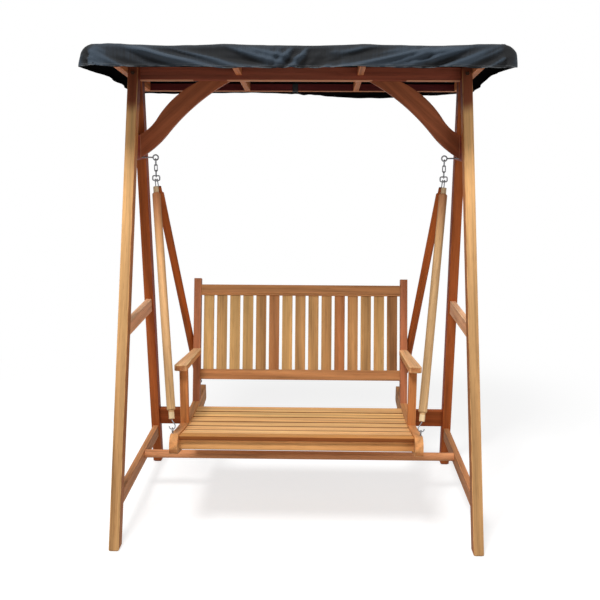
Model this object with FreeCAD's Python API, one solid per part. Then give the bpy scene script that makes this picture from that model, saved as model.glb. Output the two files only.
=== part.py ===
import FreeCAD, Part
import math
import os

# Free-standing swing bench with a canopy, in millimetres.
# The origin is on the floor at the middle of the four feet; X runs across, Y to the rear, Z up.

# Side frames, sized upright and then leaned inwards about the outer edge of the feet
foot_half_width = 755.0
foot_half_depth = 480.0
side_lean = 1.5
leg_width = 42.0
leg_depth = 56.0
leg_top = 1926.0
leg_top_half_spacing = 30.02
edge_round = 3.0
foot_chamfer = 7.0

# Rails between the legs of one side frame
side_rail_thickness = 26.0
side_rail_height = 62.0
lower_rail_level = 182.0
middle_rail_level = 862.0
hanger_block_thickness = 38.0
hanger_block_height = 104.0
hanger_block_drop = 327.0
tenon_thickness = 14.0
tenon_shoulder = 11.0
tenon_length = 24.0

# Beam, braces and stretchers between the side frames
beam_height = 56.0
beam_thickness = 45.0
beam_chamfer = 6.0
brace_thickness = 34.0
brace_top_outer = 417.0
brace_top_inner = 290.0
brace_foot_height = 96.0
brace_foot_rise = 3.0
brace_inflection = 0.68
brace_swell = 17.0
brace_foot_overlap = 10.0
dowel_radius = 5.0
dowel_length = 50.0
foot_stretcher_diameter = 38.0
foot_stretcher_tenon = 24.0
foot_stretcher_level = 190.0
foot_stretcher_back = 80.0
rear_stretcher_height = 88.0
rear_stretcher_thickness = 24.0
rear_stretcher_level = 262.0
rear_stretcher_shoulder = 5.5

# Canopy frame, sized level and then pitched down to the rear about the beam
canopy_pitch = 6.0
rafter_drop = 34.0
rafter_height = 40.0
rafter_thickness = 25.0
middle_rafter_offset = 252.0
beam_lap = 16.0
canopy_half_depth = 430.0
canopy_rail_thickness = 25.0
canopy_rail_height = 34.0
canopy_overhang = 27.5
rafter_screw_radius = 2.5
rafter_screw_length = 60.0
rafter_screw_head_radius = 5.0
rafter_screw_head_height = 2.5

# Cover of woven cloth
cloth_thickness = 3.0
cloth_room = 0.3
cover_slack = 6.0
cover_end_slack = 40.0
valance_height = 86.0
rear_valance_height = 58.0
side_valance_height = 42.0
side_hem_rear = 400.0
cover_corner_radius = 30.0
cover_roll = 14.0
cover_end_roll = 34.0
cover_roll_share = 0.3
fold_depth = 5.0
long_side_fold_count = 9
short_side_fold_count = 5
strap_width = 26.0
strap_thickness = 2.0
strap_room = 0.4
strap_corner_radius = 5.4
strap_offset = -30.0

# Bolts through the leg tops
beam_bolt_radius = 4.0
beam_bolt_spacing = 28.0
beam_bolt_drop = 12.0
beam_bolt_bite = 40.0
apex_bolt_radius = 4.0
apex_bolt_drop = 25.0
bolt_head_radius = 8.0
bolt_head_height = 5.0
nut_height = 7.0
bolt_tail = 5.0
bolt_hole_room = 0.2

# Eye bolts and chains
eye_drop = 41.0
eye_reach = 62.0
eye_radius = 11.0
eye_wire_radius = 3.0
link_wire_radius = 2.25
link_end_radius = 6.0
link_straight = 17.0
links_per_chain = 3
ring_wire_radius = 2.75
ring_half_width = 15.0
ring_height = 20.0
ring_corner_radius = 6.0
chain_room = 0.4

# Hanger bars with their hooks and screw eyes
bar_radius = 17.5
bar_neck_radius = 11.5
bar_top_neck = 28.0
bar_bottom_neck = 36.0
bar_shoulder_round = 5.0
hook_wire_radius = 2.25
hook_room = 0.9
hook_spread = 3.8
upper_hook_drop = 27.0
lower_hook_radius = 12.0
lower_hook_drop = 26.0
hook_screw_length = 24.0
hook_stand = 3.0
hook_sweep = 215.0
screw_eye_radius = 9.0
screw_eye_wire_radius = 2.5
screw_eye_depth = 30.0
screw_eye_stand = 2.0
screw_eye_room = 0.4

# Bench side rails, dished along an arc that is lowest at seat_low_y
hanger_flare = 108.5
rail_thickness = 33.0
rail_height = 78.0
rail_front = -462.0
rail_rear = 403.0
rail_nose_radius = 40.0
rail_corner_radius = 14.0
seat_low_y = 119.0
seat_low_z = 417.5
seat_dish_radius = 2600.0
eye_from_front = 38.0
eye_from_rear = 25.0
eye_from_outside = 8.0

# Seat slats and aprons
seat_slat_count = 7
seat_slat_width = 74.0
seat_slat_gap = 6.4
seat_slat_thickness = 17.0
seat_slat_drop = 8.0
seat_front_setback = 31.0
housing_depth = 8.0
apron_height = 40.0
apron_thickness = 22.0
apron_setback = 20.0

# Backrest
post_depth = 44.0
post_length = 581.0
post_foot_y = 167.0
back_recline = 14.0
post_tenon_length = 40.0
back_rail_thickness = 26.0
back_rail_setback = 7.0
top_rail_height = 50.0
top_rail_level = 527.0
bottom_rail_height = 48.0
bottom_rail_level = 128.0
back_slat_count = 15
back_slat_width = 48.5
back_slat_thickness = 12.0
bead_size = 3.0
bead_rise = 8.0

# Arms
arm_width = 54.0
arm_inner_overhang = 5.0
arm_thickness = 26.0
arm_front = -223.0
arm_front_level = 703.0
arm_slope = 5.5
arm_corner_radius = 14.0
arm_post_front = -184.0
arm_post_depth = 40.0

# Stock that is cut away is made longer than any piece by this much
excess = 400.0

# Places nearer than this count as the same
same_place = 0.5
same_direction = 1e-6

# Splay and levels that follow from the leg tops
leg_splay = math.degrees(math.atan((foot_half_depth - leg_top_half_spacing) / leg_top))
beam_bottom = leg_top - beam_height
rafter_level = leg_top - rafter_drop
hanger_block_level = leg_top - hanger_block_drop
eye_level = hanger_block_level - eye_drop
beam_bolt_level = leg_top - beam_bolt_drop
apex_bolt_level = leg_top - apex_bolt_drop

Vec = FreeCAD.Vector
X_AXIS = Vec(1, 0, 0)
Y_AXIS = Vec(0, 1, 0)
Z_AXIS = Vec(0, 0, 1)
ORIGIN = Vec(0, 0, 0)
SIDES = {"left": -1, "right": 1}


def box(x, y, z):
    """Box between two limits along each axis."""
    return Part.makeBox(x[1] - x[0], y[1] - y[0], z[1] - z[0], Vec(x[0], y[0], z[0]))


def turned(shape, centre, axis, degrees):
    copy = shape.copy()
    copy.rotate(centre, axis, degrees)
    return copy


def moved(shape, vector):
    copy = shape.copy()
    copy.translate(vector)
    return copy


def mirrored(shape):
    return shape.mirror(ORIGIN, X_AXIS)


def parallel_edges(shape, direction):
    """Straight edges that run along a direction."""
    found = []
    for edge in shape.Edges:
        if not isinstance(edge.Curve, Part.Line):
            continue
        if edge.tangentAt(edge.FirstParameter).cross(direction).Length < same_direction:
            found.append(edge)
    return found


def softened(shape, direction, radius=edge_round):
    """Rounds the edges that run along a direction."""
    return shape.makeFillet(radius, parallel_edges(shape, direction))


def board(x, y, z, along, radius=edge_round):
    """Box with its long edges rounded."""
    return softened(box(x, y, z), along, radius)


def rod(start, end, radius):
    direction = end - start
    return Part.makeCylinder(radius, direction.Length, start, direction)


def hexagon(start, direction, radius, height):
    """Hexagonal prism that stands on a point."""
    angles = [math.radians(60 * corner) for corner in range(7)]
    points = [Vec(radius * math.cos(angle), radius * math.sin(angle), 0) for angle in angles]
    prism = Part.Face(Part.makePolygon(points)).extrude(Vec(0, 0, height))
    prism.Placement = FreeCAD.Placement(start, FreeCAD.Rotation(Z_AXIS, direction))
    return prism


def piped(edges, radius):
    """Round wire along a chain of tangent edges."""
    path = Part.Wire(edges)
    first = path.Edges[0]
    circle = Part.Circle(first.valueAt(first.FirstParameter), first.tangentAt(first.FirstParameter), radius)
    return path.makePipeShell([Part.Wire(circle.toShape())], True, False)


def group(solids):
    return Part.makeCompound(solids)


def save(name, shape):
    shape.exportStep("parts/" + name + ".step")


# Side frames

def leaned(shape, side):
    """Leans a piece of an upright right-hand side frame, mirrored first for the left side."""
    lean = turned(shape, Vec(foot_half_width, 0, 0), Y_AXIS, -side_lean)
    return lean if side > 0 else mirrored(lean)


def leaned_point(point):
    lean = FreeCAD.Rotation(Y_AXIS, -side_lean)
    pivot = Vec(foot_half_width, 0, 0)
    return pivot + lean.multVec(point - pivot)


leg_inner = foot_half_width - leg_width
leg_middle = foot_half_width - leg_width / 2


def leg_y(level):
    """Distance of a leg's centre line from the middle of the side frame."""
    return foot_half_depth - level * math.tan(math.radians(leg_splay))


def leg_stock(front):
    """Upright right-hand leg before its ends are trimmed, front legs on the negative side."""
    half = leg_depth / 2
    stock = box((leg_inner, foot_half_width), (-half, half), (-excess, leg_top + excess))
    turn = -leg_splay if front < 0 else leg_splay
    stock = turned(stock, ORIGIN, X_AXIS, turn)
    return moved(stock, Vec(0, front * foot_half_depth, 0))


def leg_direction(front):
    angle = math.radians(leg_splay)
    return Vec(0, -front * math.sin(angle), math.cos(angle))


def rail_tenon(level, height):
    reach = leg_y(level) - leg_depth / 2 + tenon_length
    half = height / 2 - tenon_shoulder
    x = (leg_middle - tenon_thickness / 2, leg_middle + tenon_thickness / 2)
    return box(x, (-reach, reach), (level - half, level + half))


def side_rail(level, height, thickness):
    """Upright rail between the two legs of a side frame, with a tenon at each end."""
    reach = leg_y(level - height)
    rail = board((leg_middle - thickness / 2, leg_middle + thickness / 2), (-reach, reach),
                 (level - height / 2, level + height / 2), Y_AXIS)
    rail = rail.cut(leg_stock(-1)).cut(leg_stock(1))
    middle = min(rail.Solids, key=lambda solid: abs(solid.CenterOfMass.y))
    return middle.fuse(rail_tenon(level, height)).removeSplitter()


side_rails = {
    "lower_rail": (lower_rail_level, side_rail_height, side_rail_thickness),
    "middle_rail": (middle_rail_level, side_rail_height, side_rail_thickness),
    "hanger_block": (hanger_block_level, hanger_block_height, hanger_block_thickness),
}


def rear_stretcher_stock(half_length, inset):
    """Board that lies in the plane of the back legs."""
    half = rear_stretcher_height / 2 - inset
    half_thickness = rear_stretcher_thickness / 2 - inset / 2
    stock = board((-half_length, half_length), (-half_thickness, half_thickness), (-half, half), X_AXIS)
    stock = turned(stock, ORIGIN, X_AXIS, leg_splay)
    return moved(stock, Vec(0, leg_y(rear_stretcher_level), rear_stretcher_level))


def inner_limit(upright_x):
    """Everything outside an upright plane of the side frames, leaned with them."""
    outside = box((upright_x, upright_x + excess), (-2 * excess, 2 * excess), (-excess, leg_top + excess))
    return group([leaned(outside, side) for side in SIDES.values()])


def rear_stretcher_tenons():
    stock = rear_stretcher_stock(foot_half_width, rear_stretcher_shoulder)
    return stock.cut(inner_limit(leg_inner + tenon_length))


def rear_stretcher():
    reach = foot_half_width
    body = rear_stretcher_stock(reach, 0).cut(inner_limit(leg_inner))
    return body.fuse(rear_stretcher_tenons()).removeSplitter()


def foot_stretcher_rod(diameter):
    start = Vec(-foot_half_width, foot_stretcher_back, foot_stretcher_level)
    return rod(start, start + X_AXIS * (2 * foot_half_width), diameter / 2)


def foot_stretcher_tenons():
    return foot_stretcher_rod(foot_stretcher_tenon).cut(inner_limit(leg_middle))


def foot_stretcher():
    """Turned bar between the lower rails, a little behind their middle."""
    rail_face = leg_middle - side_rail_thickness / 2
    body = foot_stretcher_rod(foot_stretcher_diameter).cut(inner_limit(rail_face))
    return body.fuse(foot_stretcher_tenons()).removeSplitter()


# Bolts at the leg tops

def beam_bolt_places():
    return [(offset, beam_bolt_level) for offset in (-beam_bolt_spacing / 2, beam_bolt_spacing / 2)]


def beam_bolt(offset, level, room=0.0):
    """Bolt from the outer face of a side rafter through the leg into the beam's end."""
    outer = foot_half_width + rafter_thickness
    tip = Vec(leg_inner - beam_bolt_bite, offset, level)
    shank = rod(tip, Vec(outer, offset, level), beam_bolt_radius + room)
    head = hexagon(Vec(outer, offset, level), X_AXIS, bolt_head_radius, bolt_head_height)
    return shank.fuse(head) if room == 0 else shank


def apex_reach():
    return leg_y(apex_bolt_level) + leg_depth / 2 / math.cos(math.radians(leg_splay))


def apex_bolt(room=0.0):
    """Bolt from front to back through both legs of a side frame."""
    spot = bolt_head_radius * math.tan(math.radians(leg_splay))
    start = Vec(leg_middle, -apex_reach() - spot, apex_bolt_level)
    end = Vec(leg_middle, apex_reach() + spot + nut_height + bolt_tail, apex_bolt_level)
    shank = rod(start, end, apex_bolt_radius + room)
    head = hexagon(start, -Y_AXIS, bolt_head_radius, bolt_head_height)
    return shank.fuse(head) if room == 0 else shank


def apex_nut():
    spot = bolt_head_radius * math.tan(math.radians(leg_splay))
    start = Vec(leg_middle, apex_reach() + spot, apex_bolt_level)
    nut = hexagon(start, Y_AXIS, bolt_head_radius, nut_height)
    return nut.cut(apex_bolt(bolt_hole_room))


def leg(front):
    """Upright leg with its mortises and bolt holes; its foot is trimmed after it is leaned."""
    shape = softened(leg_stock(front), leg_direction(front))
    half = (-2 * excess, 0) if front < 0 else (0, 2 * excess)
    shape = shape.common(box((0, 2 * foot_half_width), half, (-excess, leg_top)))
    for level, height, thickness in side_rails.values():
        shape = shape.cut(rail_tenon(level, height))
    for offset, level in beam_bolt_places():
        shape = shape.cut(beam_bolt(offset, level, bolt_hole_room))
    return shape.cut(apex_bolt(bolt_hole_room))


def foot_outline(front, inset, level):
    """Rectangle round a right-hand foot, drawn in by an inset."""
    half_x = leg_width / 2 / math.cos(math.radians(side_lean)) - inset
    half_y = leg_depth / 2 / math.cos(math.radians(leg_splay)) - inset
    centre = Vec(foot_half_width - half_x - inset, front * foot_half_depth, level)
    signs = ((-1, -1), (1, -1), (1, 1), (-1, 1), (-1, -1))
    return Part.makePolygon([centre + Vec(sx * half_x, sy * half_y, 0) for sx, sy in signs])


def foot_trim(front, side):
    """What is taken off a leg at the floor: all below it and a chamfer round the foot."""
    rise = leg_width
    sections = [foot_outline(front, foot_chamfer, 0), foot_outline(front, foot_chamfer - rise, rise)]
    width = 2 * foot_half_width
    trim = box((0, width), (-width, width), (-excess, rise)).cut(Part.makeLoft(sections, True, True))
    return trim if side > 0 else mirrored(trim)


def save_side_frames():
    stretcher_tenons = rear_stretcher_tenons()
    for side_name, side in SIDES.items():
        for end_name, front in (("front", -1), ("back", 1)):
            shape = leaned(leg(front), side).cut(foot_trim(front, side))
            if front > 0:
                shape = shape.cut(stretcher_tenons)
            save(end_name + "_" + side_name + "_leg", shape)
        for rail_name, sizes in side_rails.items():
            shape = leaned(side_rail(*sizes), side)
            if rail_name == "lower_rail":
                shape = shape.cut(foot_stretcher_tenons())
            if rail_name == "hanger_block":
                shape = shape.cut(leaned(eye_bolt_shank(bolt_hole_room), side))
            save(side_name + "_" + rail_name, shape)
    save("rear_stretcher", rear_stretcher())
    save("foot_stretcher", foot_stretcher())


# Beam and braces

def beam():
    half = beam_thickness / 2
    z = (beam_bottom, beam_bottom + beam_height)
    shape = box((-foot_half_width, foot_half_width), (-half, half), z)
    middle = leg_top - beam_height / 2
    lower = [edge for edge in parallel_edges(shape, X_AXIS) if edge.CenterOfMass.z < middle]
    shape = shape.makeChamfer(beam_chamfer, lower)
    shape = shape.cut(inner_limit(leg_inner))
    lap = rafter_level + beam_lap
    for offset in (-middle_rafter_offset, middle_rafter_offset):
        half_notch = rafter_thickness / 2
        notch = box((offset - half_notch, offset + half_notch), (-excess, excess), (lap, leg_top + excess))
        shape = shape.cut(notch)
    return shape


def ogee(start, end, outwards):
    """Two tangent arcs that bend opposite ways between two points."""
    chord = end - start
    bend = start + chord * brace_inflection
    hollow = brace_swell * (1 - brace_inflection) / brace_inflection
    first = Part.Arc(start, (start + bend) * 0.5 + outwards * brace_swell, bend)
    second = Part.Arc(bend, (bend + end) * 0.5 - outwards * hollow, end)
    return [first.toShape(), second.toShape()]


def brace():
    """Right-hand brace under the beam, ending on the hanger block."""
    face = leg_middle - hanger_block_thickness / 2
    foot_bottom = hanger_block_level - hanger_block_height / 2 + brace_foot_rise
    foot_x = leaned_point(Vec(face, 0, hanger_block_level)).x
    past = foot_x + brace_foot_overlap
    top_inner = Vec(brace_top_inner, 0, beam_bottom)
    top_outer = Vec(brace_top_outer, 0, beam_bottom)
    foot_upper = Vec(past, 0, foot_bottom + brace_foot_height)
    foot_lower = Vec(past, 0, foot_bottom)
    upper_chord = foot_upper - top_outer
    outwards = Vec(-upper_chord.z, 0, upper_chord.x).normalize()
    edges = [Part.makeLine(top_inner, top_outer)]
    edges += ogee(top_outer, foot_upper, outwards)
    edges += [Part.makeLine(foot_upper, foot_lower)]
    edges += [edge.reversed() for edge in reversed(ogee(top_inner, foot_lower, outwards))]
    outline = Part.Face(Part.Wire(Part.__sortEdges__(edges)))
    shape = moved(outline.extrude(Vec(0, brace_thickness, 0)), Vec(0, -brace_thickness / 2, 0))
    shape = shape.cut(inner_limit(face))
    return shape.cut(leaned(eye_bolt_shank(bolt_hole_room), 1))


def brace_dowel():
    start = Vec((brace_top_inner + brace_top_outer) / 2, 0, beam_bottom - dowel_length / 2)
    return rod(start, start + Z_AXIS * dowel_length, dowel_radius)


def save_beam():
    dowels = [brace_dowel(), mirrored(brace_dowel())]
    bolts = []
    holes = []
    for side in SIDES.values():
        for offset, level in beam_bolt_places():
            bolts.append(leaned(beam_bolt(offset, level), side))
            holes.append(leaned(beam_bolt(offset, level, bolt_hole_room), side))
    save("top_beam", beam().cut(group(dowels)).cut(group(holes)))
    right = brace().cut(dowels[0])
    save("right_brace", right)
    save("left_brace", mirrored(right))
    save("brace_dowels", group(dowels))
    save("beam_bolts", group(bolts))
    save("apex_bolts", group([leaned(apex_bolt(), side) for side in SIDES.values()]))
    save("apex_nuts", group([leaned(apex_nut(), side) for side in SIDES.values()]))


# Canopy frame

def pitched(shape):
    """Pitches a piece of a level canopy down to the rear and lifts it over the beam."""
    return moved(turned(shape, ORIGIN, X_AXIS, -canopy_pitch), Vec(0, 0, rafter_level))


rafter_half_length = canopy_half_depth - canopy_rail_thickness / 2
side_rafter_outer = leaned_point(Vec(foot_half_width + rafter_thickness, 0, rafter_level)).x
canopy_rail_half_length = side_rafter_outer + canopy_overhang


def middle_rafter(offset):
    half = rafter_thickness / 2
    length = (-rafter_half_length, rafter_half_length)
    shape = board((offset - half, offset + half), length, (0, rafter_height), Y_AXIS)
    lap = box((offset - excess, offset + excess), (-beam_thickness / 2, beam_thickness / 2),
              (rafter_level - excess, rafter_level + beam_lap))
    return pitched(shape).cut(lap)


def side_rafter():
    """Right-hand rafter on the outer faces of the legs."""
    x = (foot_half_width, foot_half_width + rafter_thickness)
    slab = box(x, (-excess * 2, excess * 2), (0, leg_top + excess))
    blank = box((0, 2 * foot_half_width), (-rafter_half_length, rafter_half_length), (0, rafter_height))
    shape = pitched(blank).common(leaned(slab, 1))
    for offset, level in beam_bolt_places():
        shape = shape.cut(leaned(beam_bolt(offset, level, bolt_hole_room), 1))
    return shape


def side_rafter_x():
    """Middle of the right-hand side rafter at each end, which the lean brings nearer at the higher end."""
    return leaned_point(Vec(foot_half_width + rafter_thickness / 2, 0, rafter_level)).x


def rafter_screw(x, end, room=0.0):
    """Screw through a canopy rail into a rafter's end, level."""
    outer = end * (canopy_half_depth + canopy_rail_thickness / 2)
    level = canopy_rail_height / 2
    direction = Vec(0, -end, 0)
    start = Vec(x, outer, level)
    shank = rod(start, start + direction * rafter_screw_length, rafter_screw_radius + room)
    head = rod(start, start - direction * rafter_screw_head_height, rafter_screw_head_radius)
    return shank.fuse(head) if room == 0 else shank


def canopy_rail(end):
    y = end * canopy_half_depth
    half = canopy_rail_thickness / 2
    length = (-canopy_rail_half_length, canopy_rail_half_length)
    return board(length, (y - half, y + half), (0, canopy_rail_height), X_AXIS)


def save_canopy_frame():
    screws = []
    for x in (-side_rafter_x(), -middle_rafter_offset, middle_rafter_offset, side_rafter_x()):
        for end in (-1, 1):
            screws.append(pitched(rafter_screw(x, end)))
    right_side = side_rafter().cut(group(screws))
    save("right_side_rafter", right_side)
    save("left_side_rafter", mirrored(right_side))
    for side_name, side in SIDES.items():
        save(side_name + "_middle_rafter", middle_rafter(side * middle_rafter_offset).cut(group(screws)))
    save("canopy_front_rail", pitched(canopy_rail(-1)).cut(group(screws)))
    save("canopy_rear_rail", pitched(canopy_rail(1)).cut(group(screws)))
    save("rafter_screws", group(screws))


# Canopy cover

def folded_side(start, end, outwards, count, depth):
    """One side of the cover's outline as a row of shallow folds, straight where the depth is nought."""
    edges = []
    step = (end - start) * (1.0 / count)
    for index in range(count):
        a = start + step * index
        b = start + step * (index + 1)
        if depth == 0:
            edges.append(Part.makeLine(a, b))
            continue
        sway = depth if index % 2 else -depth
        edges.append(Part.Arc(a, (a + b) * 0.5 + outwards * sway, b).toShape())
    return edges


cover_half_length = canopy_rail_half_length + cover_end_slack + cloth_thickness
cover_half_depth = canopy_half_depth + canopy_rail_thickness / 2 + cover_slack + cloth_thickness
cover_crown = rafter_height + cloth_room + cloth_thickness


def cover_outline(inset, level, depth, end_inset=0.0):
    """Rounded rectangle round the canopy, drawn in by an inset, and by more at its ends."""
    half_x = cover_half_length - inset - end_inset
    half_y = cover_half_depth - inset
    radius = cover_corner_radius - inset
    edges = []
    corners = ((1, -1), (1, 1), (-1, 1), (-1, -1))
    for index, (sx, sy) in enumerate(corners):
        centre = Vec(sx * (half_x - radius), sy * (half_y - radius), level)
        outer = Vec(sx, 0, 0) if index % 2 else Vec(0, sy, 0)
        after = Vec(0, sy, 0) if index % 2 else Vec(sx, 0, 0)
        between = (outer + after).normalize()
        knee = centre + between * radius
        edges.append(Part.Arc(centre + outer * radius, knee, centre + after * radius).toShape())
        next_x, next_y = corners[(index + 1) % 4]
        next_centre = Vec(next_x * (half_x - radius), next_y * (half_y - radius), level)
        count = long_side_fold_count if index % 2 else short_side_fold_count
        edges += folded_side(centre + after * radius, next_centre + after * radius, after, count, depth)
    return Part.Wire(edges)


def cover_form(inset):
    """Solid tent over the canopy frame, from a hem that rises to the rear up to the crown."""
    crown = cover_crown - inset
    front_hem = cover_crown - valance_height
    rise = math.degrees(math.atan((valance_height - rear_valance_height) / (2 * cover_half_depth)))
    front_edge = Vec(0, -cover_half_depth, front_hem)
    hem = turned(cover_outline(inset, front_hem, fold_depth), front_edge, X_AXIS, rise)
    bend = cover_roll * cover_roll_share
    end_roll = cover_end_roll - cover_roll
    sections = [
        hem,
        cover_outline(inset, crown - cover_roll, 0),
        cover_outline(inset + bend, crown - bend, 0, end_roll * cover_roll_share),
        cover_outline(inset + cover_roll, crown, 0, end_roll),
    ]
    return Part.makeLoft(sections, True, True)


def side_hem_cut(side):
    """What is taken off the cover below the hem of a short side, which is higher than in front."""
    profile = [
        Vec(0, -cover_half_depth, cover_crown - valance_height),
        Vec(0, 0, cover_crown - side_valance_height),
        Vec(0, side_hem_rear, cover_crown - side_valance_height),
        Vec(0, cover_half_depth, cover_crown - rear_valance_height),
        Vec(0, cover_half_depth, -excess),
        Vec(0, -cover_half_depth, -excess),
        Vec(0, -cover_half_depth, cover_crown - valance_height),
    ]
    inner = cover_half_length - cover_corner_radius
    prism = Part.Face(Part.makePolygon(profile)).extrude(X_AXIS * (2 * cover_corner_radius))
    prism = moved(prism, X_AXIS * inner)
    return prism if side > 0 else mirrored(prism)


def canopy_cover():
    """Cloth between an outer and an inner tent, cut higher along the short sides."""
    cover = cover_form(0).cut(cover_form(cloth_thickness))
    for side in SIDES.values():
        cover = cover.cut(side_hem_cut(side))
    return pitched(cover)


def canopy_strap():
    """Webbing loop round the rear rail."""
    half = canopy_rail_thickness / 2 + strap_room
    x = (strap_offset - strap_width / 2, strap_offset + strap_width / 2)
    y = (canopy_half_depth - half, canopy_half_depth + half)
    z = (-strap_room, canopy_rail_height + strap_room)
    wrap = strap_thickness
    loop = board(x, (y[0] - wrap, y[1] + wrap), (z[0] - wrap, z[1] + wrap), X_AXIS, strap_corner_radius)
    return pitched(loop.cut(board(x, y, z, X_AXIS, strap_corner_radius - wrap)))


# Eye bolts and chains

block_inner = leg_middle - hanger_block_thickness / 2
block_outer = leg_middle + hanger_block_thickness / 2
eye_x = block_inner - eye_reach


def eye_bolt_shank(room=0.0):
    start = Vec(eye_x + eye_radius, 0, eye_level)
    end = Vec(block_outer + nut_height + bolt_tail, 0, eye_level)
    return rod(start, end, eye_wire_radius + room)


def eye_bolt():
    """Upright eye bolt through the brace's foot and the hanger block."""
    eye = Part.makeTorus(eye_radius, eye_wire_radius, Vec(eye_x, 0, eye_level), Y_AXIS)
    return eye.fuse(eye_bolt_shank()).removeSplitter()


def eye_bolt_nut():
    nut = hexagon(Vec(block_outer, 0, eye_level), X_AXIS, bolt_head_radius, nut_height)
    return nut.cut(eye_bolt_shank(bolt_hole_room))


# Point that each chain swings about: the middle of the wire at the bottom of the eye
swing_point = leaned_point(Vec(eye_x, 0, eye_level - eye_radius))


def oval_link(top, facing):
    """Chain link that hangs from the level of its top wire, facing along an axis."""
    upper = top - Z_AXIS * link_end_radius
    lower = upper - Z_AXIS * link_straight
    aside = facing.cross(Z_AXIS) * link_end_radius
    near = rod(upper + aside, lower + aside, link_wire_radius)
    far = rod(upper - aside, lower - aside, link_wire_radius)
    bends = [half_ring(upper, facing, Z_AXIS), half_ring(lower, facing, -Z_AXIS)]
    return near.multiFuse([far] + bends).removeSplitter()


def half_ring(centre, facing, towards):
    """Half of a torus round a link's end."""
    ring = Part.makeTorus(link_end_radius, link_wire_radius, centre, facing)
    far = link_end_radius + link_wire_radius
    block = box((-far, far), (-far, far), (0, far) if towards.z > 0 else (-far, 0))
    return ring.common(moved(block, centre))


def link_tops():
    """Level of the top wire of each link, then of the ring, below the swing point."""
    tops = []
    top = link_end_radius
    for _ in range(links_per_chain):
        tops.append(top)
        bottom = top - link_straight - 2 * link_end_radius
        top = bottom + 2 * link_wire_radius + chain_room
    return tops, bottom + link_wire_radius + ring_wire_radius + chain_room


def chain_ring(top):
    """Oblong ring across the swing, whose lower bar carries the hooks."""
    half = ring_half_width
    corner = ring_corner_radius
    bottom = top - Z_AXIS * ring_height
    diagonal = corner * (1 - math.sqrt(0.5))
    edges = []
    for base, up in ((top, 1), (bottom, -1)):
        for side in (up, -up):
            outer = base + X_AXIS * side * half
            along = base + X_AXIS * side * (half - corner)
            down = outer - Z_AXIS * up * corner
            knee = outer - X_AXIS * side * diagonal - Z_AXIS * up * diagonal
            edges.append(Part.Arc(along, knee, down).toShape())
        edges.append(Part.makeLine(base - X_AXIS * (half - corner), base + X_AXIS * (half - corner)))
    for side in (-1, 1):
        across = X_AXIS * side * half
        edges.append(Part.makeLine(top + across - Z_AXIS * corner, bottom + across + Z_AXIS * corner))
    return piped(Part.__sortEdges__(edges), ring_wire_radius)


def chain():
    """Right-hand chain: oval links in turn facing across and along, then the ring."""
    tops, ring_top = link_tops()
    solids = []
    for index, top in enumerate(tops):
        facing = Y_AXIS if index % 2 else X_AXIS
        solids.append(oval_link(swing_point + Z_AXIS * top, facing))
    solids.append(chain_ring(swing_point + Z_AXIS * ring_top))
    return group(solids)


# Point that the bench swings about: the middle of the ring's lower bar
bench_point = swing_point + Z_AXIS * (link_tops()[1] - ring_height)


def save_chains():
    right = chain()
    save("right_chain", right)
    save("left_chain", mirrored(right))
    save("eye_bolts", group([leaned(eye_bolt(), side) for side in SIDES.values()]))
    save("eye_bolt_nuts", group([leaned(eye_bolt_nut(), side) for side in SIDES.values()]))


# Bench side rails and seat

rail_outer = bench_point.x - hanger_flare
rail_inner = rail_outer - rail_thickness
rail_middle = rail_outer - rail_thickness / 2
dish_centre = Vec(0, seat_low_y, seat_low_z + seat_dish_radius)


def rail_top_z(y):
    """Level of the side rail's top edge."""
    return dish_centre.z - math.sqrt(seat_dish_radius ** 2 - (y - seat_low_y) ** 2)


def rail_point(y, below):
    """Point on the top edge of a side rail, or square below it."""
    outwards = Vec(0, y, rail_top_z(y)) - dish_centre
    return dish_centre + outwards * ((seat_dish_radius + below) / seat_dish_radius)


def seat_rail_blank():
    """Right-hand side rail before its housings are cut."""
    middle = (rail_front + rail_rear) / 2
    front_top = rail_point(rail_front, 0)
    rear_top = rail_point(rail_rear, 0)
    rear_bottom = rail_point(rail_rear, rail_height)
    front_bottom = rail_point(rail_front, rail_height)
    edges = [
        Part.Arc(front_top, rail_point(middle, 0), rear_top).toShape(),
        Part.makeLine(rear_top, rear_bottom),
        Part.Arc(rear_bottom, rail_point(middle, rail_height), front_bottom).toShape(),
        Part.makeLine(front_bottom, front_top),
    ]
    shape = moved(Part.Face(Part.Wire(edges)).extrude(Vec(rail_thickness, 0, 0)), Vec(rail_inner, 0, 0))
    shape = shape.makeFillet(rail_nose_radius, corner_edges(shape, [front_top]))
    return shape.makeFillet(rail_corner_radius, corner_edges(shape, [rear_top, rear_bottom, front_bottom]))


def corner_edges(shape, corners):
    """Edges across a side rail that pass through any of some corners of its outline."""
    found = []
    for edge in parallel_edges(shape, X_AXIS):
        spot = edge.CenterOfMass
        if any(math.hypot(spot.y - corner.y, spot.z - corner.z) < same_place for corner in corners):
            found.append(edge)
    return found


def on_seat(shape, arc_length):
    """Lays a piece made at the origin on the dished seat, a distance behind the first slat's front."""
    start = math.asin((rail_front + seat_front_setback - seat_low_y) / seat_dish_radius)
    angle = start + arc_length / seat_dish_radius
    lifted = moved(shape, Vec(0, seat_low_y, seat_low_z))
    return turned(lifted, dish_centre, X_AXIS, math.degrees(angle))


def slat_distance(index):
    """Distance of a slat's middle from the front of the first slat."""
    return seat_slat_width / 2 + index * (seat_slat_width + seat_slat_gap)


def seat_slat(index):
    reach = rail_inner + housing_depth
    top = -seat_slat_drop
    half = seat_slat_width / 2
    slat = board((-reach, reach), (-half, half), (top - seat_slat_thickness, top), X_AXIS)
    return on_seat(slat, slat_distance(index))


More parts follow.
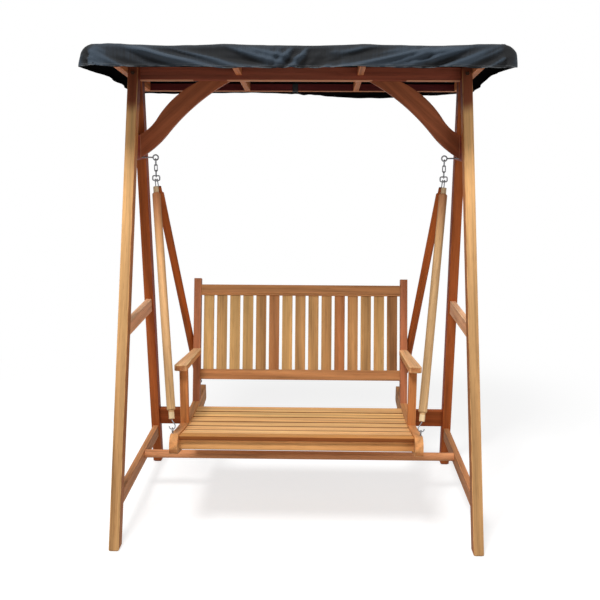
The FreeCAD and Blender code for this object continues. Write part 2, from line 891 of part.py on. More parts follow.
def apron(index, towards):
    """Board on edge under a seat slat, set back from the slat's front or rear edge."""
    reach = rail_inner + housing_depth
    top = -seat_slat_drop - seat_slat_thickness
    outer = towards * (seat_slat_width / 2 - apron_setback)
    y = sorted((outer, outer - towards * apron_thickness))
    shape = board((-reach, reach), y, (top - apron_height, top), X_AXIS)
    return on_seat(shape, slat_distance(index))


def save_seat():
    slats = [seat_slat(index) for index in range(seat_slat_count)]
    aprons = {
        "front_apron": apron(0, -1),
        "rear_apron": apron(seat_slat_count - 1, 1),
    }
    rail = seat_rail_blank().cut(group(slats + list(aprons.values())))
    rail = rail.cut(post_tenon()).cut(arm_post_tenon())
    for end in (-1, 1):
        rail = rail.cut(screw_eye_stem(end))
    save("right_seat_rail", rail)
    save("left_seat_rail", mirrored(rail))
    for index, slat in enumerate(slats):
        save("seat_slat_" + str(index + 1), slat)
    for name, shape in aprons.items():
        save(name, shape)


# Backrest, made upright on its foot and then reclined

post_foot = Vec(0, post_foot_y, rail_top_z(post_foot_y))


def reclined(shape):
    return turned(moved(shape, post_foot), post_foot, X_AXIS, -back_recline)


def post_tenon():
    middle = post_depth / 2
    half = post_depth / 2 - tenon_shoulder
    x = (rail_middle - tenon_thickness / 2, rail_middle + tenon_thickness / 2)
    return reclined(box(x, (middle - half, middle + half), (-post_tenon_length, tenon_shoulder)))


def back_rail(level, height, x_reach):
    y = (back_rail_setback, back_rail_setback + back_rail_thickness)
    return board((-x_reach, x_reach), y, (level - height / 2, level + height / 2), X_AXIS)


def top_rail():
    shape = back_rail(top_rail_level, top_rail_height, rail_inner + housing_depth)
    half = bead_size / 2
    groove = turned(box((-excess * 2, excess * 2), (-half, half), (-half, half)), ORIGIN, X_AXIS, 45)
    level = top_rail_level - top_rail_height / 2 + bead_rise
    return shape.cut(moved(groove, Vec(0, back_rail_setback, level)))


def bottom_rail():
    return back_rail(bottom_rail_level, bottom_rail_height, rail_inner + housing_depth)


def back_slats():
    gap = (2 * rail_inner - back_slat_count * back_slat_width) / (back_slat_count + 1)
    middle = back_rail_setback + back_rail_thickness / 2
    y = (middle - back_slat_thickness / 2, middle + back_slat_thickness / 2)
    foot = bottom_rail_level + bottom_rail_height / 2 - housing_depth
    head = top_rail_level - top_rail_height / 2 + housing_depth
    slats = []
    for index in range(back_slat_count):
        start = -rail_inner + gap + index * (back_slat_width + gap)
        slats.append(board((start, start + back_slat_width), y, (foot, head), Z_AXIS))
    return slats


def back_post():
    """Right-hand back post, standing on the side rail."""
    stock = box((rail_inner, rail_outer), (0, post_depth), (-rail_height / 2, post_length))
    stock = softened(stock, Z_AXIS)
    shape = reclined(stock).cut(seat_rail_blank()).fuse(post_tenon()).removeSplitter()
    return shape.cut(group([reclined(top_rail()), reclined(bottom_rail())]))


def save_back():
    slats = back_slats()
    save("back_top_rail", reclined(top_rail().cut(group(slats))))
    save("back_bottom_rail", reclined(bottom_rail().cut(group(slats))))
    save("back_slats", reclined(group(slats)))
    right = back_post()
    save("right_back_post", right)
    save("left_back_post", mirrored(right))


# Arms

arm_inner = rail_inner - arm_inner_overhang


def sloped(shape):
    """Lays a level arm's piece at the arm's height, sloping down to the rear."""
    front = Vec(0, arm_front, arm_front_level)
    return turned(moved(shape, front), front, X_AXIS, -arm_slope)


def arm_run():
    """Length of the arm's top from its front to the back post."""
    slope = math.radians(arm_slope)
    lean = math.tan(math.radians(back_recline))
    gap = post_foot.y - arm_front + (arm_front_level - post_foot.z) * lean
    return gap / (math.cos(slope) + math.sin(slope) * lean)


def armrest():
    """Right-hand armrest, tapered to the width of the back post and cut to fit its front."""
    run = arm_run()
    taper = (rail_outer - arm_inner - arm_width) / run
    spare = arm_thickness
    rear_x = arm_inner + arm_width + taper * (run + spare)
    points = [Vec(arm_inner, 0, -arm_thickness), Vec(arm_inner + arm_width, 0, -arm_thickness),
              Vec(rear_x, run + spare, -arm_thickness), Vec(arm_inner, run + spare, -arm_thickness)]
    outline = Part.Face(Part.makePolygon(points + points[:1]))
    shape = outline.extrude(Z_AXIS * arm_thickness)
    corners = [edge for edge in parallel_edges(shape, Z_AXIS) if edge.CenterOfMass.y < run / 2]
    shape = shape.makeFillet(arm_corner_radius, corners)
    level = [edge for edge in shape.Edges if abs(edge.tangentAt(edge.FirstParameter).z) < same_direction]
    shape = shape.makeFillet(edge_round, [edge for edge in level if edge.CenterOfMass.y < run])
    behind_post = box((0, 3 * excess), (0, 2 * excess), (-excess, 3 * excess))
    return sloped(shape).cut(reclined(behind_post))


def arm_post_box(inset, z):
    x = (rail_inner + inset, rail_outer - inset)
    y = (arm_post_front + inset, arm_post_front + arm_post_depth - inset)
    return box(x, y, z)


arm_post_level = rail_top_z(arm_post_front + arm_post_depth / 2)


def arm_post_tenon():
    inset = (rail_thickness - tenon_thickness) / 2
    return arm_post_box(inset, (arm_post_level - post_tenon_length, arm_post_level + tenon_shoulder))


def arm_post():
    stock = softened(arm_post_box(0, (arm_post_level - rail_height / 2, arm_front_level)), Z_AXIS)
    above = box((0, 3 * excess), (-excess, 2 * excess), (-arm_thickness, excess))
    shape = stock.cut(seat_rail_blank()).cut(sloped(above))
    return shape.fuse(arm_post_tenon()).removeSplitter()


def save_arms():
    for name, shape in (("armrest", armrest()), ("arm_post", arm_post())):
        save("right_" + name, shape)
        save("left_" + name, mirrored(shape))


# Hanger bars, front on the negative side

def hang_line(end):
    """Right-hand hanger's line: top at the ring, foot on the side rail, length and direction."""
    top = bench_point - X_AXIS * (end * hook_spread)
    y = rail_front + eye_from_front if end < 0 else rail_rear - eye_from_rear
    foot = Vec(rail_outer - eye_from_outside, y, rail_top_z(y))
    line = foot - top
    return top, foot, line.Length, line.normalize()


def eye_ring_rise():
    return screw_eye_stand + screw_eye_radius + screw_eye_wire_radius


def lower_bowl_rise():
    """Height of the lower hook's bowl above the side rail, along the hanger's line."""
    grip = screw_eye_wire_radius + hook_wire_radius + screw_eye_room
    return eye_ring_rise() + screw_eye_radius - grip + lower_hook_radius


def screw_eye_stem(end):
    top, foot, length, direction = hang_line(end)
    start = foot - direction * (eye_ring_rise() - screw_eye_radius)
    return rod(start, foot + direction * screw_eye_depth, screw_eye_wire_radius)


def screw_eye(end):
    top, foot, length, direction = hang_line(end)
    centre = foot - direction * eye_ring_rise()
    facing = X_AXIS - direction * X_AXIS.dot(direction)
    eye = Part.makeTorus(screw_eye_radius, screw_eye_wire_radius, centre, facing)
    return eye.fuse(screw_eye_stem(end)).removeSplitter()


def hook(start, bowl, aside, radius):
    """Open wire hook: a screw shank, a straight to the side of the bowl and part of a turn round it."""
    back = start - bowl
    drop = back.Length
    back = back.normalize()
    lead = math.degrees(math.acos(radius / drop))
    def rim(angle):
        turn = math.radians(angle)
        return bowl + (back * math.cos(turn) + aside * math.sin(turn)) * radius
    last = lead + hook_sweep
    bend = Part.Arc(rim(lead), rim((lead + last) / 2), rim(last)).toShape()
    wire = piped([Part.makeLine(start, rim(lead)), bend], hook_wire_radius)
    shank = rod(start + back * hook_screw_length, start, hook_wire_radius)
    knuckle = Part.makeSphere(hook_wire_radius, start)
    return wire.multiFuse([shank, knuckle]).removeSplitter()


def upper_hook(end):
    top, foot, length, direction = hang_line(end)
    aside = direction.cross(X_AXIS).normalize() * (-end)
    radius = ring_wire_radius + hook_wire_radius + hook_room
    return hook(top + direction * upper_hook_drop, top, aside, radius)


def lower_hook(end):
    top, foot, length, direction = hang_line(end)
    aside = (X_AXIS - direction * X_AXIS.dot(direction)).normalize() * -1
    bowl = foot - direction * lower_bowl_rise()
    return hook(bowl - direction * lower_hook_drop, bowl, aside, lower_hook_radius)


def hanger_bar(end):
    """Turned bar with a stepped-down neck at each end, drilled for its hooks' shanks."""
    top, foot, length, direction = hang_line(end)
    upper = top + direction * upper_hook_drop
    lower = foot - direction * (lower_bowl_rise() + lower_hook_drop)
    start = upper + direction * hook_stand
    finish = lower - direction * hook_stand
    body = rod(start + direction * bar_top_neck, finish - direction * bar_bottom_neck, bar_radius)
    rims = [edge for edge in body.Edges if isinstance(edge.Curve, Part.Circle)]
    body = body.makeFillet(bar_shoulder_round, rims)
    shape = body.fuse(rod(start, finish, bar_neck_radius)).removeSplitter()
    screw = direction * hook_screw_length
    shape = shape.cut(rod(upper, upper + screw, hook_wire_radius))
    return shape.cut(rod(lower, lower - screw, hook_wire_radius))


def save_hangers():
    for end_name, end in (("front", -1), ("rear", 1)):
        bar = hanger_bar(end)
        save(end_name + "_right_hanger_bar", bar)
        save(end_name + "_left_hanger_bar", mirrored(bar))
    makers = {"upper_hooks": upper_hook, "lower_hooks": lower_hook, "screw_eyes": screw_eye}
    for name, maker in makers.items():
        right = [maker(end) for end in (-1, 1)]
        save(name, group(right + [mirrored(shape) for shape in right]))


os.makedirs("parts", exist_ok=True)
save_side_frames()
save_beam()
save_canopy_frame()
save("canopy_cover", canopy_cover())
save("canopy_strap", canopy_strap())
save_chains()
save_seat()
save_back()
save_arms()
save_hangers()
print("chains swing about", swing_point, "bench swings about", bench_point)
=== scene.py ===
import math

import bmesh
import bpy
from mathutils import Matrix, Vector, noise


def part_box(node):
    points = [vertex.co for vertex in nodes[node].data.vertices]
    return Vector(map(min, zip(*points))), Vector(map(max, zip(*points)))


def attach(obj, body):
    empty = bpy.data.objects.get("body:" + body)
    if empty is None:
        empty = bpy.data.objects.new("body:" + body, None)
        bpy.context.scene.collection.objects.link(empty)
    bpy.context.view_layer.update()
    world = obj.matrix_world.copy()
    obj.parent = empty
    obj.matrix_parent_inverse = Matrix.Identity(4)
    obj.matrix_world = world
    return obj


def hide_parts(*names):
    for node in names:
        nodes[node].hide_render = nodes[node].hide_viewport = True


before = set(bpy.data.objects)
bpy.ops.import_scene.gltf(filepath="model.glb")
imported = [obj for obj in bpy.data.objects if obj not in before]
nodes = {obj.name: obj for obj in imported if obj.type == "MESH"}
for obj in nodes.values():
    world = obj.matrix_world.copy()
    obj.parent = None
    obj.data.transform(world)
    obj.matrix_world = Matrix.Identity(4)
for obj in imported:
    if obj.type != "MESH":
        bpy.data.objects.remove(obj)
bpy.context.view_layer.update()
print("frame loaded:", len(nodes), "pieces")


# Shader maths: a wire stands for a socket, and sums on wires add Math nodes
class Wire:
    def __init__(self, tree, socket=None):
        self.tree = tree
        self.socket = socket

    def node(self, kind, settings={}, inputs={}, out=0):
        made = self.tree.nodes.new("ShaderNode" + kind)
        for name, value in settings.items():
            if name == "stops":
                setStops(made.color_ramp, value)
            elif name == "steps":
                made.color_ramp.interpolation = "CONSTANT"
            else:
                setattr(made, name, value)
        for name, value in inputs.items():
            if isinstance(value, Wire):
                self.tree.links.new(value.socket, made.inputs[name])
            else:
                made.inputs[name].default_value = value
        return Wire(self.tree, made.outputs[out])

    def math(self, operation, a, b=0.0):
        return self.node("Math", {"operation": operation}, {0: a, 1: b})

    def __add__(self, other): return self.math("ADD", self, other)
    def __radd__(self, other): return self.math("ADD", other, self)
    def __sub__(self, other): return self.math("SUBTRACT", self, other)
    def __rsub__(self, other): return self.math("SUBTRACT", other, self)
    def __mul__(self, other): return self.math("MULTIPLY", self, other)
    def __rmul__(self, other): return self.math("MULTIPLY", other, self)
    def __truediv__(self, other): return self.math("DIVIDE", self, other)
    def __pow__(self, other): return self.math("POWER", self, other)
    def __abs__(self): return self.math("ABSOLUTE", self)

    def least(self, other): return self.math("MINIMUM", self, other)
    def most(self, other): return self.math("MAXIMUM", self, other)
    def rounded(self): return self.math("ROUND", self)
    def fraction(self): return self.math("FRACT", self)
    def pingpong(self, size): return self.math("PINGPONG", self, size)

    def mix(self, a, b, blend="MIX"):  # self is the factor between two colours
        settings = {"data_type": "RGBA", "blend_type": blend}
        return self.node("Mix", settings, {0: self, 6: a, 7: b}, out=2)

    def tint(self, colour, other):  # self is how strongly the other colour acts on the first
        return self.mix(colour, other, "MULTIPLY")

    def between(self, low, high):  # smooth step from 0 to 1
        return self.node("MapRange", {"interpolation_type": "SMOOTHSTEP"},
                         {"Value": self, "From Min": low, "From Max": high})

    def stretch(self, x, y, z):  # scales a place, so that a pattern is drawn out along one way
        return self.node("VectorMath", {"operation": "MULTIPLY"}, {0: self, 1: (x, y, z)})

    def evenly(self, factor):  # scales a place or a colour the same in all its parts
        return self.stretch(factor, factor, factor)

    def shift(self, x, y, z):
        return self.node("VectorMath", {"operation": "ADD"}, {0: self, 1: (x, y, z)})

    def cloud(self, detail=2.0, rough=0.5):  # soft noise at a place
        return self.node("TexNoise", {}, {"Vector": self, "Scale": 1.0, "Detail": detail,
                                          "Roughness": rough})

    def parts(self):
        split = self.node("SeparateXYZ", {}, {"Vector": self})
        outputs = split.socket.node.outputs
        return [Wire(self.tree, outputs[axis]) for axis in range(3)]

    def bump(self, strength, distance):  # self is the height
        return self.node("Bump", {}, {"Height": self, "Strength": strength, "Distance": distance})


def setStops(ramp, stops):
    while len(ramp.elements) < len(stops):
        ramp.elements.new(0.5)
    for element, (place, colour) in zip(ramp.elements, stops):
        element.position = place
        element.color = (*colour, 1.0)


def newMaterial(name):
    material = bpy.data.materials.new(name)
    material.use_nodes = True
    tree = material.node_tree
    return material, Wire(tree), tree.nodes["Principled BSDF"]


def plug(shader, **sockets):
    for name, value in sockets.items():
        socket = shader.inputs[name.replace("_", " ")]
        if isinstance(value, Wire):
            value.tree.links.new(value.socket, socket)
        else:
            socket.default_value = value


def dress(name, material):
    piece = nodes[name]
    piece.data.materials.clear()
    piece.data.materials.append(material)


def addPiece(name, bm):  # a finished bmesh to an object of its own
    mesh = bpy.data.meshes.new(name)
    bm.to_mesh(mesh)
    bm.free()
    piece = bpy.data.objects.new(name, mesh)
    bpy.context.scene.collection.objects.link(piece)
    return piece


brightest = {"tone": 0.9, "scaled": 0.95}   # no surface gives back all light


def tone(red, green, blue):  # screen colour, 0 to 255, to the shader's own scale
    linear = []
    for part in (red / 255, green / 255, blue / 255):  # by the standard curve of screens
        part = part / 12.92 if part < 0.04045 else ((part + 0.055) / 1.055) ** 2.4
        linear.append(min(part, brightest["tone"]))
    return (*linear, 1.0)


def scaled(colour, factor):
    return (*[min(part * factor, brightest["scaled"]) for part in colour[:3]], 1.0)


# Wood, oiled hardwood whose boards differ in stain
stains = {
    "frontLeg": tone(196, 151, 100),
    "backLeg": tone(174, 93, 45),
    # painted shade: a shaded copy of the leg stain, for the leg tops
    "shadedLegTop": tone(131, 71, 46),
    "beam": tone(154, 83, 61),
    "brace": tone(169, 95, 60),
    "canopyWood": tone(103, 40, 39),
    "rafter": tone(209, 133, 86),
    "block": tone(153, 72, 55),
    "middleRail": tone(242, 186, 142),
    "lowerRail": tone(202, 141, 93),
    "stretcher": tone(159, 81, 39),
    "footBar": tone(242, 168, 116),
    "seat": tone(236, 187, 126),
    "seatFront": tone(226, 161, 91),
    "apron": tone(233, 170, 106),
    "backRail": tone(182, 127, 81),
    "post": tone(172, 110, 76),
    "armPost": tone(203, 131, 75),
    "arm": tone(242, 190, 138),
    "bar": tone(204, 163, 115),
    # a pale tone, for a brace's end and for painted highlights on chamfers
    "bareAndHighlight": tone(216, 154, 118),
    # painted shade: a shaded copy of the bar stain, for the bar tops
    "barTop": tone(176, 119, 80),
    "barNeck": tone(232, 206, 164),
    "seatRail": tone(208, 148, 94),
    # painted shade, also a redder tone: a darker copy of the bar stain for the rear bars
    "rearBar": tone(176, 92, 41),
    "slatGold": tone(196, 157, 101),
    "slatRed": tone(164, 111, 69),
}
tints = {  # these multiply the stain under them; the inside, arm side, seat gap and rail tints are painted shade
    "redCloud": (1.0, 0.78, 0.66, 1.0),
    "pore": (0.45, 0.36, 0.30, 1.0),
    "endGrain": (0.62, 0.52, 0.46, 1.0),
    "legInsideShade": (0.79, 0.55, 0.42, 1.0),
    "armSideShade": (0.88, 0.78, 0.70, 1.0),
    "seatGapShade": (0.28, 0.18, 0.13, 1.0),
    "railUnderShade": (0.40, 0.30, 0.25, 1.0),
}
wood = {
    "upright": 0.9,                      # a board's grain counts as upright from this rise on
    "seedStep": (1.73, 0.41, 0.67),      # metres from one board's grain to the next one's
    "pith": (0.05, 0.09),                # heart of the tree, aside of the board and under it
    "wander": (0.02, 0.05, 0.012),       # of the heart, of the rings, and of the rings along the board
    "ringWidth": 0.016,                  # metres between growth rings
    "warpGrain": (1.1, 7, 7),            # how fine a pattern is along the board and across it
    "fibreGrain": (2.2, 130, 130),
    "fibreDetail": (3.0, 0.6),
    "poreGrain": (16, 820, 820),
    "cloudGrain": (1.6, 9, 9),
    "redGrain": (0.9, 14, 14),
    "rubGrain": (11, 40, 40),
    "redPlace": (4, 1, 7),
    "poreCut": (0.60, 0.72),             # from where to where a noise counts
    "redCut": (0.45, 0.75),
    "rubCut": (0.36, 0.66),
    "contrast": (0.72, 0.30, 0.6, 0.345),   # shares of fibre, rings and clouds, less their mean
    "shades": ((0.12, 0.50), (0.36, 0.80), (0.58, 1.0), (0.86, 1.30)),   # stop, share of the stain
    "redStrength": 0.5,
    "poreStrength": 0.55,
    "roughness": (0.52, 0.16, 0.15),     # all over, more on fibre, more in pores
    "relief": (0.5, 0.7, 0.25),          # fibre up, pores down, rings up
    "bump": (0.7, 0.00045),
    "gloss": 0.12,
    "edgeWear": (0.0008, 0.005),         # metres in from an edge
    "rub": (0.6, 1.5, 0.1),              # how strong, how much paler, how much smoother
    "endGrain": (0.0004, 0.003),
    "insideSkin": (0.003, 0.001),        # how deep the tint of a face goes
    "armTop": (0.004, 0.001),
    "waver": 0.08,                       # how far the edge of the painted shade wavers up and down
    "legPaintedShade": (1.735, 1.80, "shadedLegTop"),   # painted canopy shade: heights between which the stain turns to its shaded copy
    # painted canopy shade on the front hanger bars
    "barPaintedShade": (1.15, 1.45, "barTop"),
    "paintedLegLight": (0.9, 1.5, 1.38),       # painted light: front legs paler between these heights, by this much
    "neck": (0.026, 0.028, 0.75),        # turned-down ends of the hanger bars, and how bare
    # painted shade along the seat boards' edges, metres in from an edge
    "seatGapShade": (0.0020, 0.0060),
    "seatShade": ((1.0, 1.0, 1.0), (1.08, 1.06, 1.10), (1.05, 1.02, 1.04), (0.92, 0.91, 0.88),
                  (1.02, 0.97, 0.92), (1.05, 1.08, 1.00), (0.95, 0.95, 0.92)),   # front to rear
    "arrisHighlight": {"top_beam": 0.0045, "canopy_rear_rail": 0.0030},   # painted highlight: metres up from the lower edge
    "arrisFade": 0.0015,
    "arrisMost": 0.85,
    "braceAtBeam": ((0.298, 0.304), (0.440, 0.446)),
    "apronLightAndShade": (1.2, 0.66),           # painted light and shade: at its upper and at its lower edge
    "seam": (0.003, 0.005, 0.5),         # metres in from a brace's end, and how strong
    "railHighlight": ((0.002, 0.0035), (0.0065, 0.008), 0.55, 1.6),   # painted highlight: rise, fall, strength, how pale
    # painted shade under the rail's lower edge
    "railUnderShade": (0.0005, 0.0025),
}
backSlats = {
    "pitch": 0.0619,
    "halfShare": 0.42,                   # half a slat's width in pitches
    "jump": (3.0, 7.0),                  # how far apart the slats' grain may lie
    "shade": (7.3, 0.18, 0.08),          # draw of a slat's shade, its range and its mean
    "redStain": stains["slatRed"],
    "redness": (0.05, 0.35, 0.15, 0.20, 0.55, 1.0, 0.25, 0.55,
                0.45, 0.50, 1.0, 0.60, 0.45, 0.15, 0.85),
}
slants = {  # way of the grain where a board isn't square to the others
    "leg": (0.0504, 0.45, 1.926),
    "rafter": (0, 0.8, -0.084),
    "brace": (0.30, 0, -0.26),
    "back": (0, 0.242, 0.970),
    "armPost": (0, 0, 1),
    "arm": (0, 0.9954, -0.0958),
}


def boardAxes(name, grain):
    # Turn of a board from its grain, and its middle and half sizes in that turn
    along = Vector(grain).normalized()
    upward = Vector((0, 0, 1)) if abs(along.z) < wood["upright"] else Vector((0, 1, 0))
    across = upward.cross(along).normalized()
    turn = Matrix((along, across, along.cross(across))).transposed()
    back = turn.inverted()
    seen = [back @ vertex.co for vertex in nodes[name].data.vertices]
    low = Vector([min(point[axis] for point in seen) for axis in range(3)])
    high = Vector([max(point[axis] for point in seen) for axis in range(3)])
    return turn.to_euler(), turn @ ((low + high) / 2), (high - low) / 2


def grainOf(own):  # fibre, growth rings, pores and soft clouds of a board
    warp = own.stretch(*wood["warpGrain"]).cloud(2.0)
    x, y, z = own.parts()
    aside, under = wood["pith"]
    heartWander, ringWander, ringDrift = wood["wander"]
    pith = ((y + aside + heartWander * warp) ** 2.0 + (z + under) ** 2.0) ** 0.5
    rings = (pith + warp * ringWander + x * ringDrift) / wood["ringWidth"]
    fibre = own.stretch(*wood["fibreGrain"]).cloud(*wood["fibreDetail"])
    pores = own.stretch(*wood["poreGrain"]).cloud(1.0).between(*wood["poreCut"])
    cloudy = own.stretch(*wood["cloudGrain"]).cloud(2.0)
    return fibre, rings.pingpong(1.0), pores, cloudy


def ownMarks(name, stain, colour, place, local, half, fibre):
    # Marks of single pieces, laid over the wood that all the boards share; several are painted light
    # or shade
    x, y, z = local.parts()
    rise = z + half.z
    if name.startswith("seat_slat"):  # painted shade along the narrow edges between the seat boards
        gap = 1 - (half.y - abs(y)).between(*wood["seatGapShade"])
        colour = gap.tint(colour, tints["seatGapShade"])
    if name in wood["arrisHighlight"]:  # painted highlight on the lower edge and its chamfer
        arris = wood["arrisHighlight"][name]
        bareAndHighlight = (1 - rise.between(arris, arris + wood["arrisFade"])) * (0.5 + fibre)
        if name == "top_beam":  # no painted highlight where the braces meet the beam
            near, far = wood["braceAtBeam"]
            bareAndHighlight = bareAndHighlight * (1 - abs(x).between(*near) * (1 - abs(x).between(*far)))
        colour = bareAndHighlight.least(wood["arrisMost"]).mix(colour, stains["bareAndHighlight"])
    if name == "front_apron":  # darker towards its lower edge: painted light at the top, painted shade at the bottom
        upper, lower = (colour.evenly(share) for share in wood["apronLightAndShade"])
        colour = (1 - z.between(-half.z, half.z)).mix(upper, lower)
    if name.endswith("brace"):  # rubbed edge of the end that meets the hanger block
        low, high, strength = wood["seam"]
        reach = max(abs(corner[0]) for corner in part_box(name))
        seam = 1 - (reach - abs(place.parts()[0])).between(low, high)
        colour = (seam * strength).mix(colour, stains["bareAndHighlight"])
    if name == "back_top_rail":  # rounded lower edge with a painted highlight, and painted shade under it
        start, stop, strength, paler = wood["railHighlight"]
        line = rise.between(*start) * (1 - rise.between(*stop)) * strength
        colour = line.mix(colour, scaled(stain, paler))
        colour = (1 - rise.between(*wood["railUnderShade"])).tint(colour, tints["railUnderShade"])
    return colour


def makeWood(name, stain, grain, seed, worn=True, slats=None, shelter=None, inside=0):
    turn, middle, half = boardAxes(name, grain)
    material, wire, shader = newMaterial("wood_" + name)
    place = wire.node("TexCoord", out="Object")
    local = wire.node("Mapping", {"vector_type": "TEXTURE"},
                      {"Vector": place, "Location": middle, "Rotation": turn})
    x, y, z = local.parts()
    own = local.shift(*[seed * step for step in wood["seedStep"]])
    halfWidth = half.y
    if slats:  # a row of slats in one node: each has its own grain and shade
        count = (y / slats["pitch"]).rounded()
        chance = wire.node("TexWhiteNoise", {"noise_dimensions": "1D"}, {"W": count + seed})
        jumpX, jumpY = slats["jump"]
        jump = wire.node("CombineXYZ", {}, {"X": chance * jumpX, "Y": chance * jumpY, "Z": 0.0})
        own = wire.node("VectorMath", {"operation": "ADD"}, {0: own, 1: jump})
        y = y - count * slats["pitch"]
        halfWidth = slats["pitch"] * slats["halfShare"]
    endOff = half.x - abs(x)
    sideOff = halfWidth - abs(y)
    faceOff = half.z - abs(z)

    fibre, band, pores, cloudy = grainOf(own)
    fibreShare, bandShare, cloudShare, mean = wood["contrast"]
    light = fibre * fibreShare + band * bandShare + cloudy * cloudShare - mean
    if slats:
        draw, shadeRange, shadeMean = slats["shade"]
        light = light + (chance * draw).fraction() * shadeRange - shadeMean

    def stained(base):
        stops = [(stop, scaled(base, share)[:3]) for stop, share in wood["shades"]]
        return light.node("ValToRGB", {"stops": stops}, {"Fac": light})

    colour = stained(stain)
    if slats:
        row = len(slats["redness"])
        stops = [(index / row, (share,) * 3) for index, share in enumerate(slats["redness"])]
        settings = {"stops": stops, "steps": True}
        reds = light.node("ValToRGB", settings, {"Fac": (count + row / 2) / row})
        colour = reds.mix(colour, stained(slats["redStain"]))
    if shelter:  # painted shade: wood under the canopy turns to a darker, shaded copy of its stain
        low, high, shadedStain = shelter
        height = place.parts()[2] + (cloudy - 0.5) * wood["waver"]
        # painted light: front legs paler over their upper half, under the painted shade
        if name.startswith("front") and name.endswith("leg"):
            litFrom, litTo, paler = wood["paintedLegLight"]
            colour = height.between(litFrom, litTo).tint(colour, (paler, paler, paler, 1.0))
        colour = height.between(low, high).mix(colour, stained(stains[shadedStain]))
    redder = own.stretch(*wood["redGrain"]).shift(*wood["redPlace"]).cloud(1.0)
    colour = (redder.between(*wood["redCut"]) * wood["redStrength"]).tint(colour, tints["redCloud"])
    colour = (pores * wood["poreStrength"]).tint(colour, tints["pore"])
    if name.startswith("front") and name.endswith("bar"):  # turned-down necks of the bars, bare of oil
        low, high, bareness = wood["neck"]
        neck = (1 - endOff.between(low, high)) * bareness
        colour = neck.mix(colour, stained(stains["barNeck"]))
    colour = (1 - endOff.between(*wood["endGrain"])).tint(colour, tints["endGrain"])
    if inside:  # painted shade, also a redder tone, on the face towards the other side frame
        deep, shallow = wood["insideSkin"]
        face = (y * inside).between(half.y - deep, half.y - shallow)
        colour = face.tint(colour, tints["legInsideShade"])
    if name.endswith("armrest"):  # painted shade: the sides darker and redder than the top
        deep, shallow = wood["armTop"]
        top = z.between(half.z - deep, half.z - shallow)
        colour = (1 - top).tint(colour, tints["armSideShade"])

    plain, fibreRough, poreRough = wood["roughness"]
    rough = plain + fibre * fibreRough + pores * poreRough
    if worn:  # paler, smoother arrises, broken up along their length
        edge = endOff.least(sideOff).most(endOff.most(sideOff).least(faceOff))
        broken = own.stretch(*wood["rubGrain"]).cloud(3.0).between(*wood["rubCut"])
        rub = (1 - edge.between(*wood["edgeWear"])) * broken
        strength, paler, smoother = wood["rub"]
        colour = (rub * strength).mix(colour, scaled(stain, paler))
        rough = rough - rub * smoother
    colour = ownMarks(name, stain, colour, place, local, half, fibre)

    fibreUp, poreDown, bandUp = wood["relief"]
    relief = fibre * fibreUp - pores * poreDown + band * bandUp
    plug(shader, Base_Color=colour, Roughness=rough, Normal=relief.bump(*wood["bump"]),
         Specular_IOR_Level=wood["gloss"])
    dress(name, material)


def longWay(name):  # straight along the longest side of a board's box
    low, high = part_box(name)
    sides = Vector(high) - Vector(low)
    way = Vector((0, 0, 0))
    way[max(range(3), key=lambda axis: sides[axis])] = 1.0
    return way


def slantWay(name, xSign, ySign):  # corner to corner of the box, for a slanting bar
    low, high = (Vector(corner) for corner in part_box(name))
    sides = high - low
    return Vector((xSign * sides.x, ySign * sides.y, sides.z))


boards = []   # their order gives each board its seed


def addBoard(name, stain, grain, **special):
    boards.append((name, stain, grain, special))


for side, sign in (("left", -1), ("right", 1)):
    inward, backward, upward = slants["leg"]
    for end, lean in (("front", 1), ("back", -1)):
        grain = (-sign * inward, lean * backward, upward)
        addBoard(end + "_" + side + "_leg", stains[end + "Leg"], grain,
                 shelter=wood["legPaintedShade"], inside=-sign)
    for end, lean, stain in (("front", 1, "bar"), ("rear", -1, "rearBar")):
        name = end + "_" + side + "_hanger_bar"
        addBoard(name, stains[stain], slantWay(name, sign, lean), worn=False,
                 shelter=wood["barPaintedShade"] if end == "front" else None)
    plain = {"lower_rail": "lowerRail", "middle_rail": "middleRail", "hanger_block": "block",
             "seat_rail": "seatRail"}
    for part, stain in plain.items():
        name = side + "_" + part
        addBoard(name, stains[stain], longWay(name), worn=part != "seat_rail")
    for part in ("middle_rafter", "side_rafter"):
        addBoard(side + "_" + part, stains["rafter"], slants["rafter"])
    outward, level, downward = slants["brace"]
    addBoard(side + "_brace", stains["brace"], (sign * outward, level, downward), worn=False)
    addBoard(side + "_back_post", stains["post"], slants["back"])
    addBoard(side + "_arm_post", stains["armPost"], slants["armPost"])
    addBoard(side + "_armrest", stains["arm"], slants["arm"])
straight = {"top_beam": "beam", "foot_stretcher": "footBar", "rear_stretcher": "stretcher",
            "canopy_front_rail": "canopyWood", "canopy_rear_rail": "canopyWood",
            "front_apron": "apron", "rear_apron": "apron", "back_top_rail": "backRail",
            "back_bottom_rail": "backRail", "brace_dowels": "bar"}
for name, stain in straight.items():
    roundWood = name in ("foot_stretcher", "brace_dowels")
    addBoard(name, stains[stain], longWay(name), worn=not roundWood)
for count, shares in enumerate(wood["seatShade"], 1):
    name = "seat_slat_" + str(count)
    base = stains["seatFront" if count == 1 else "seat"]
    shade = tuple(part * share for part, share in zip(base, (*shares, 1.0)))
    addBoard(name, shade, longWay(name))
addBoard("back_slats", stains["slatGold"], slants["back"], slats=backSlats)
for seed, (name, stain, grain, special) in enumerate(boards, 1):
    makeWood(name, stain, grain, seed, **special)
print("wood dressed:", len(boards), "boards")

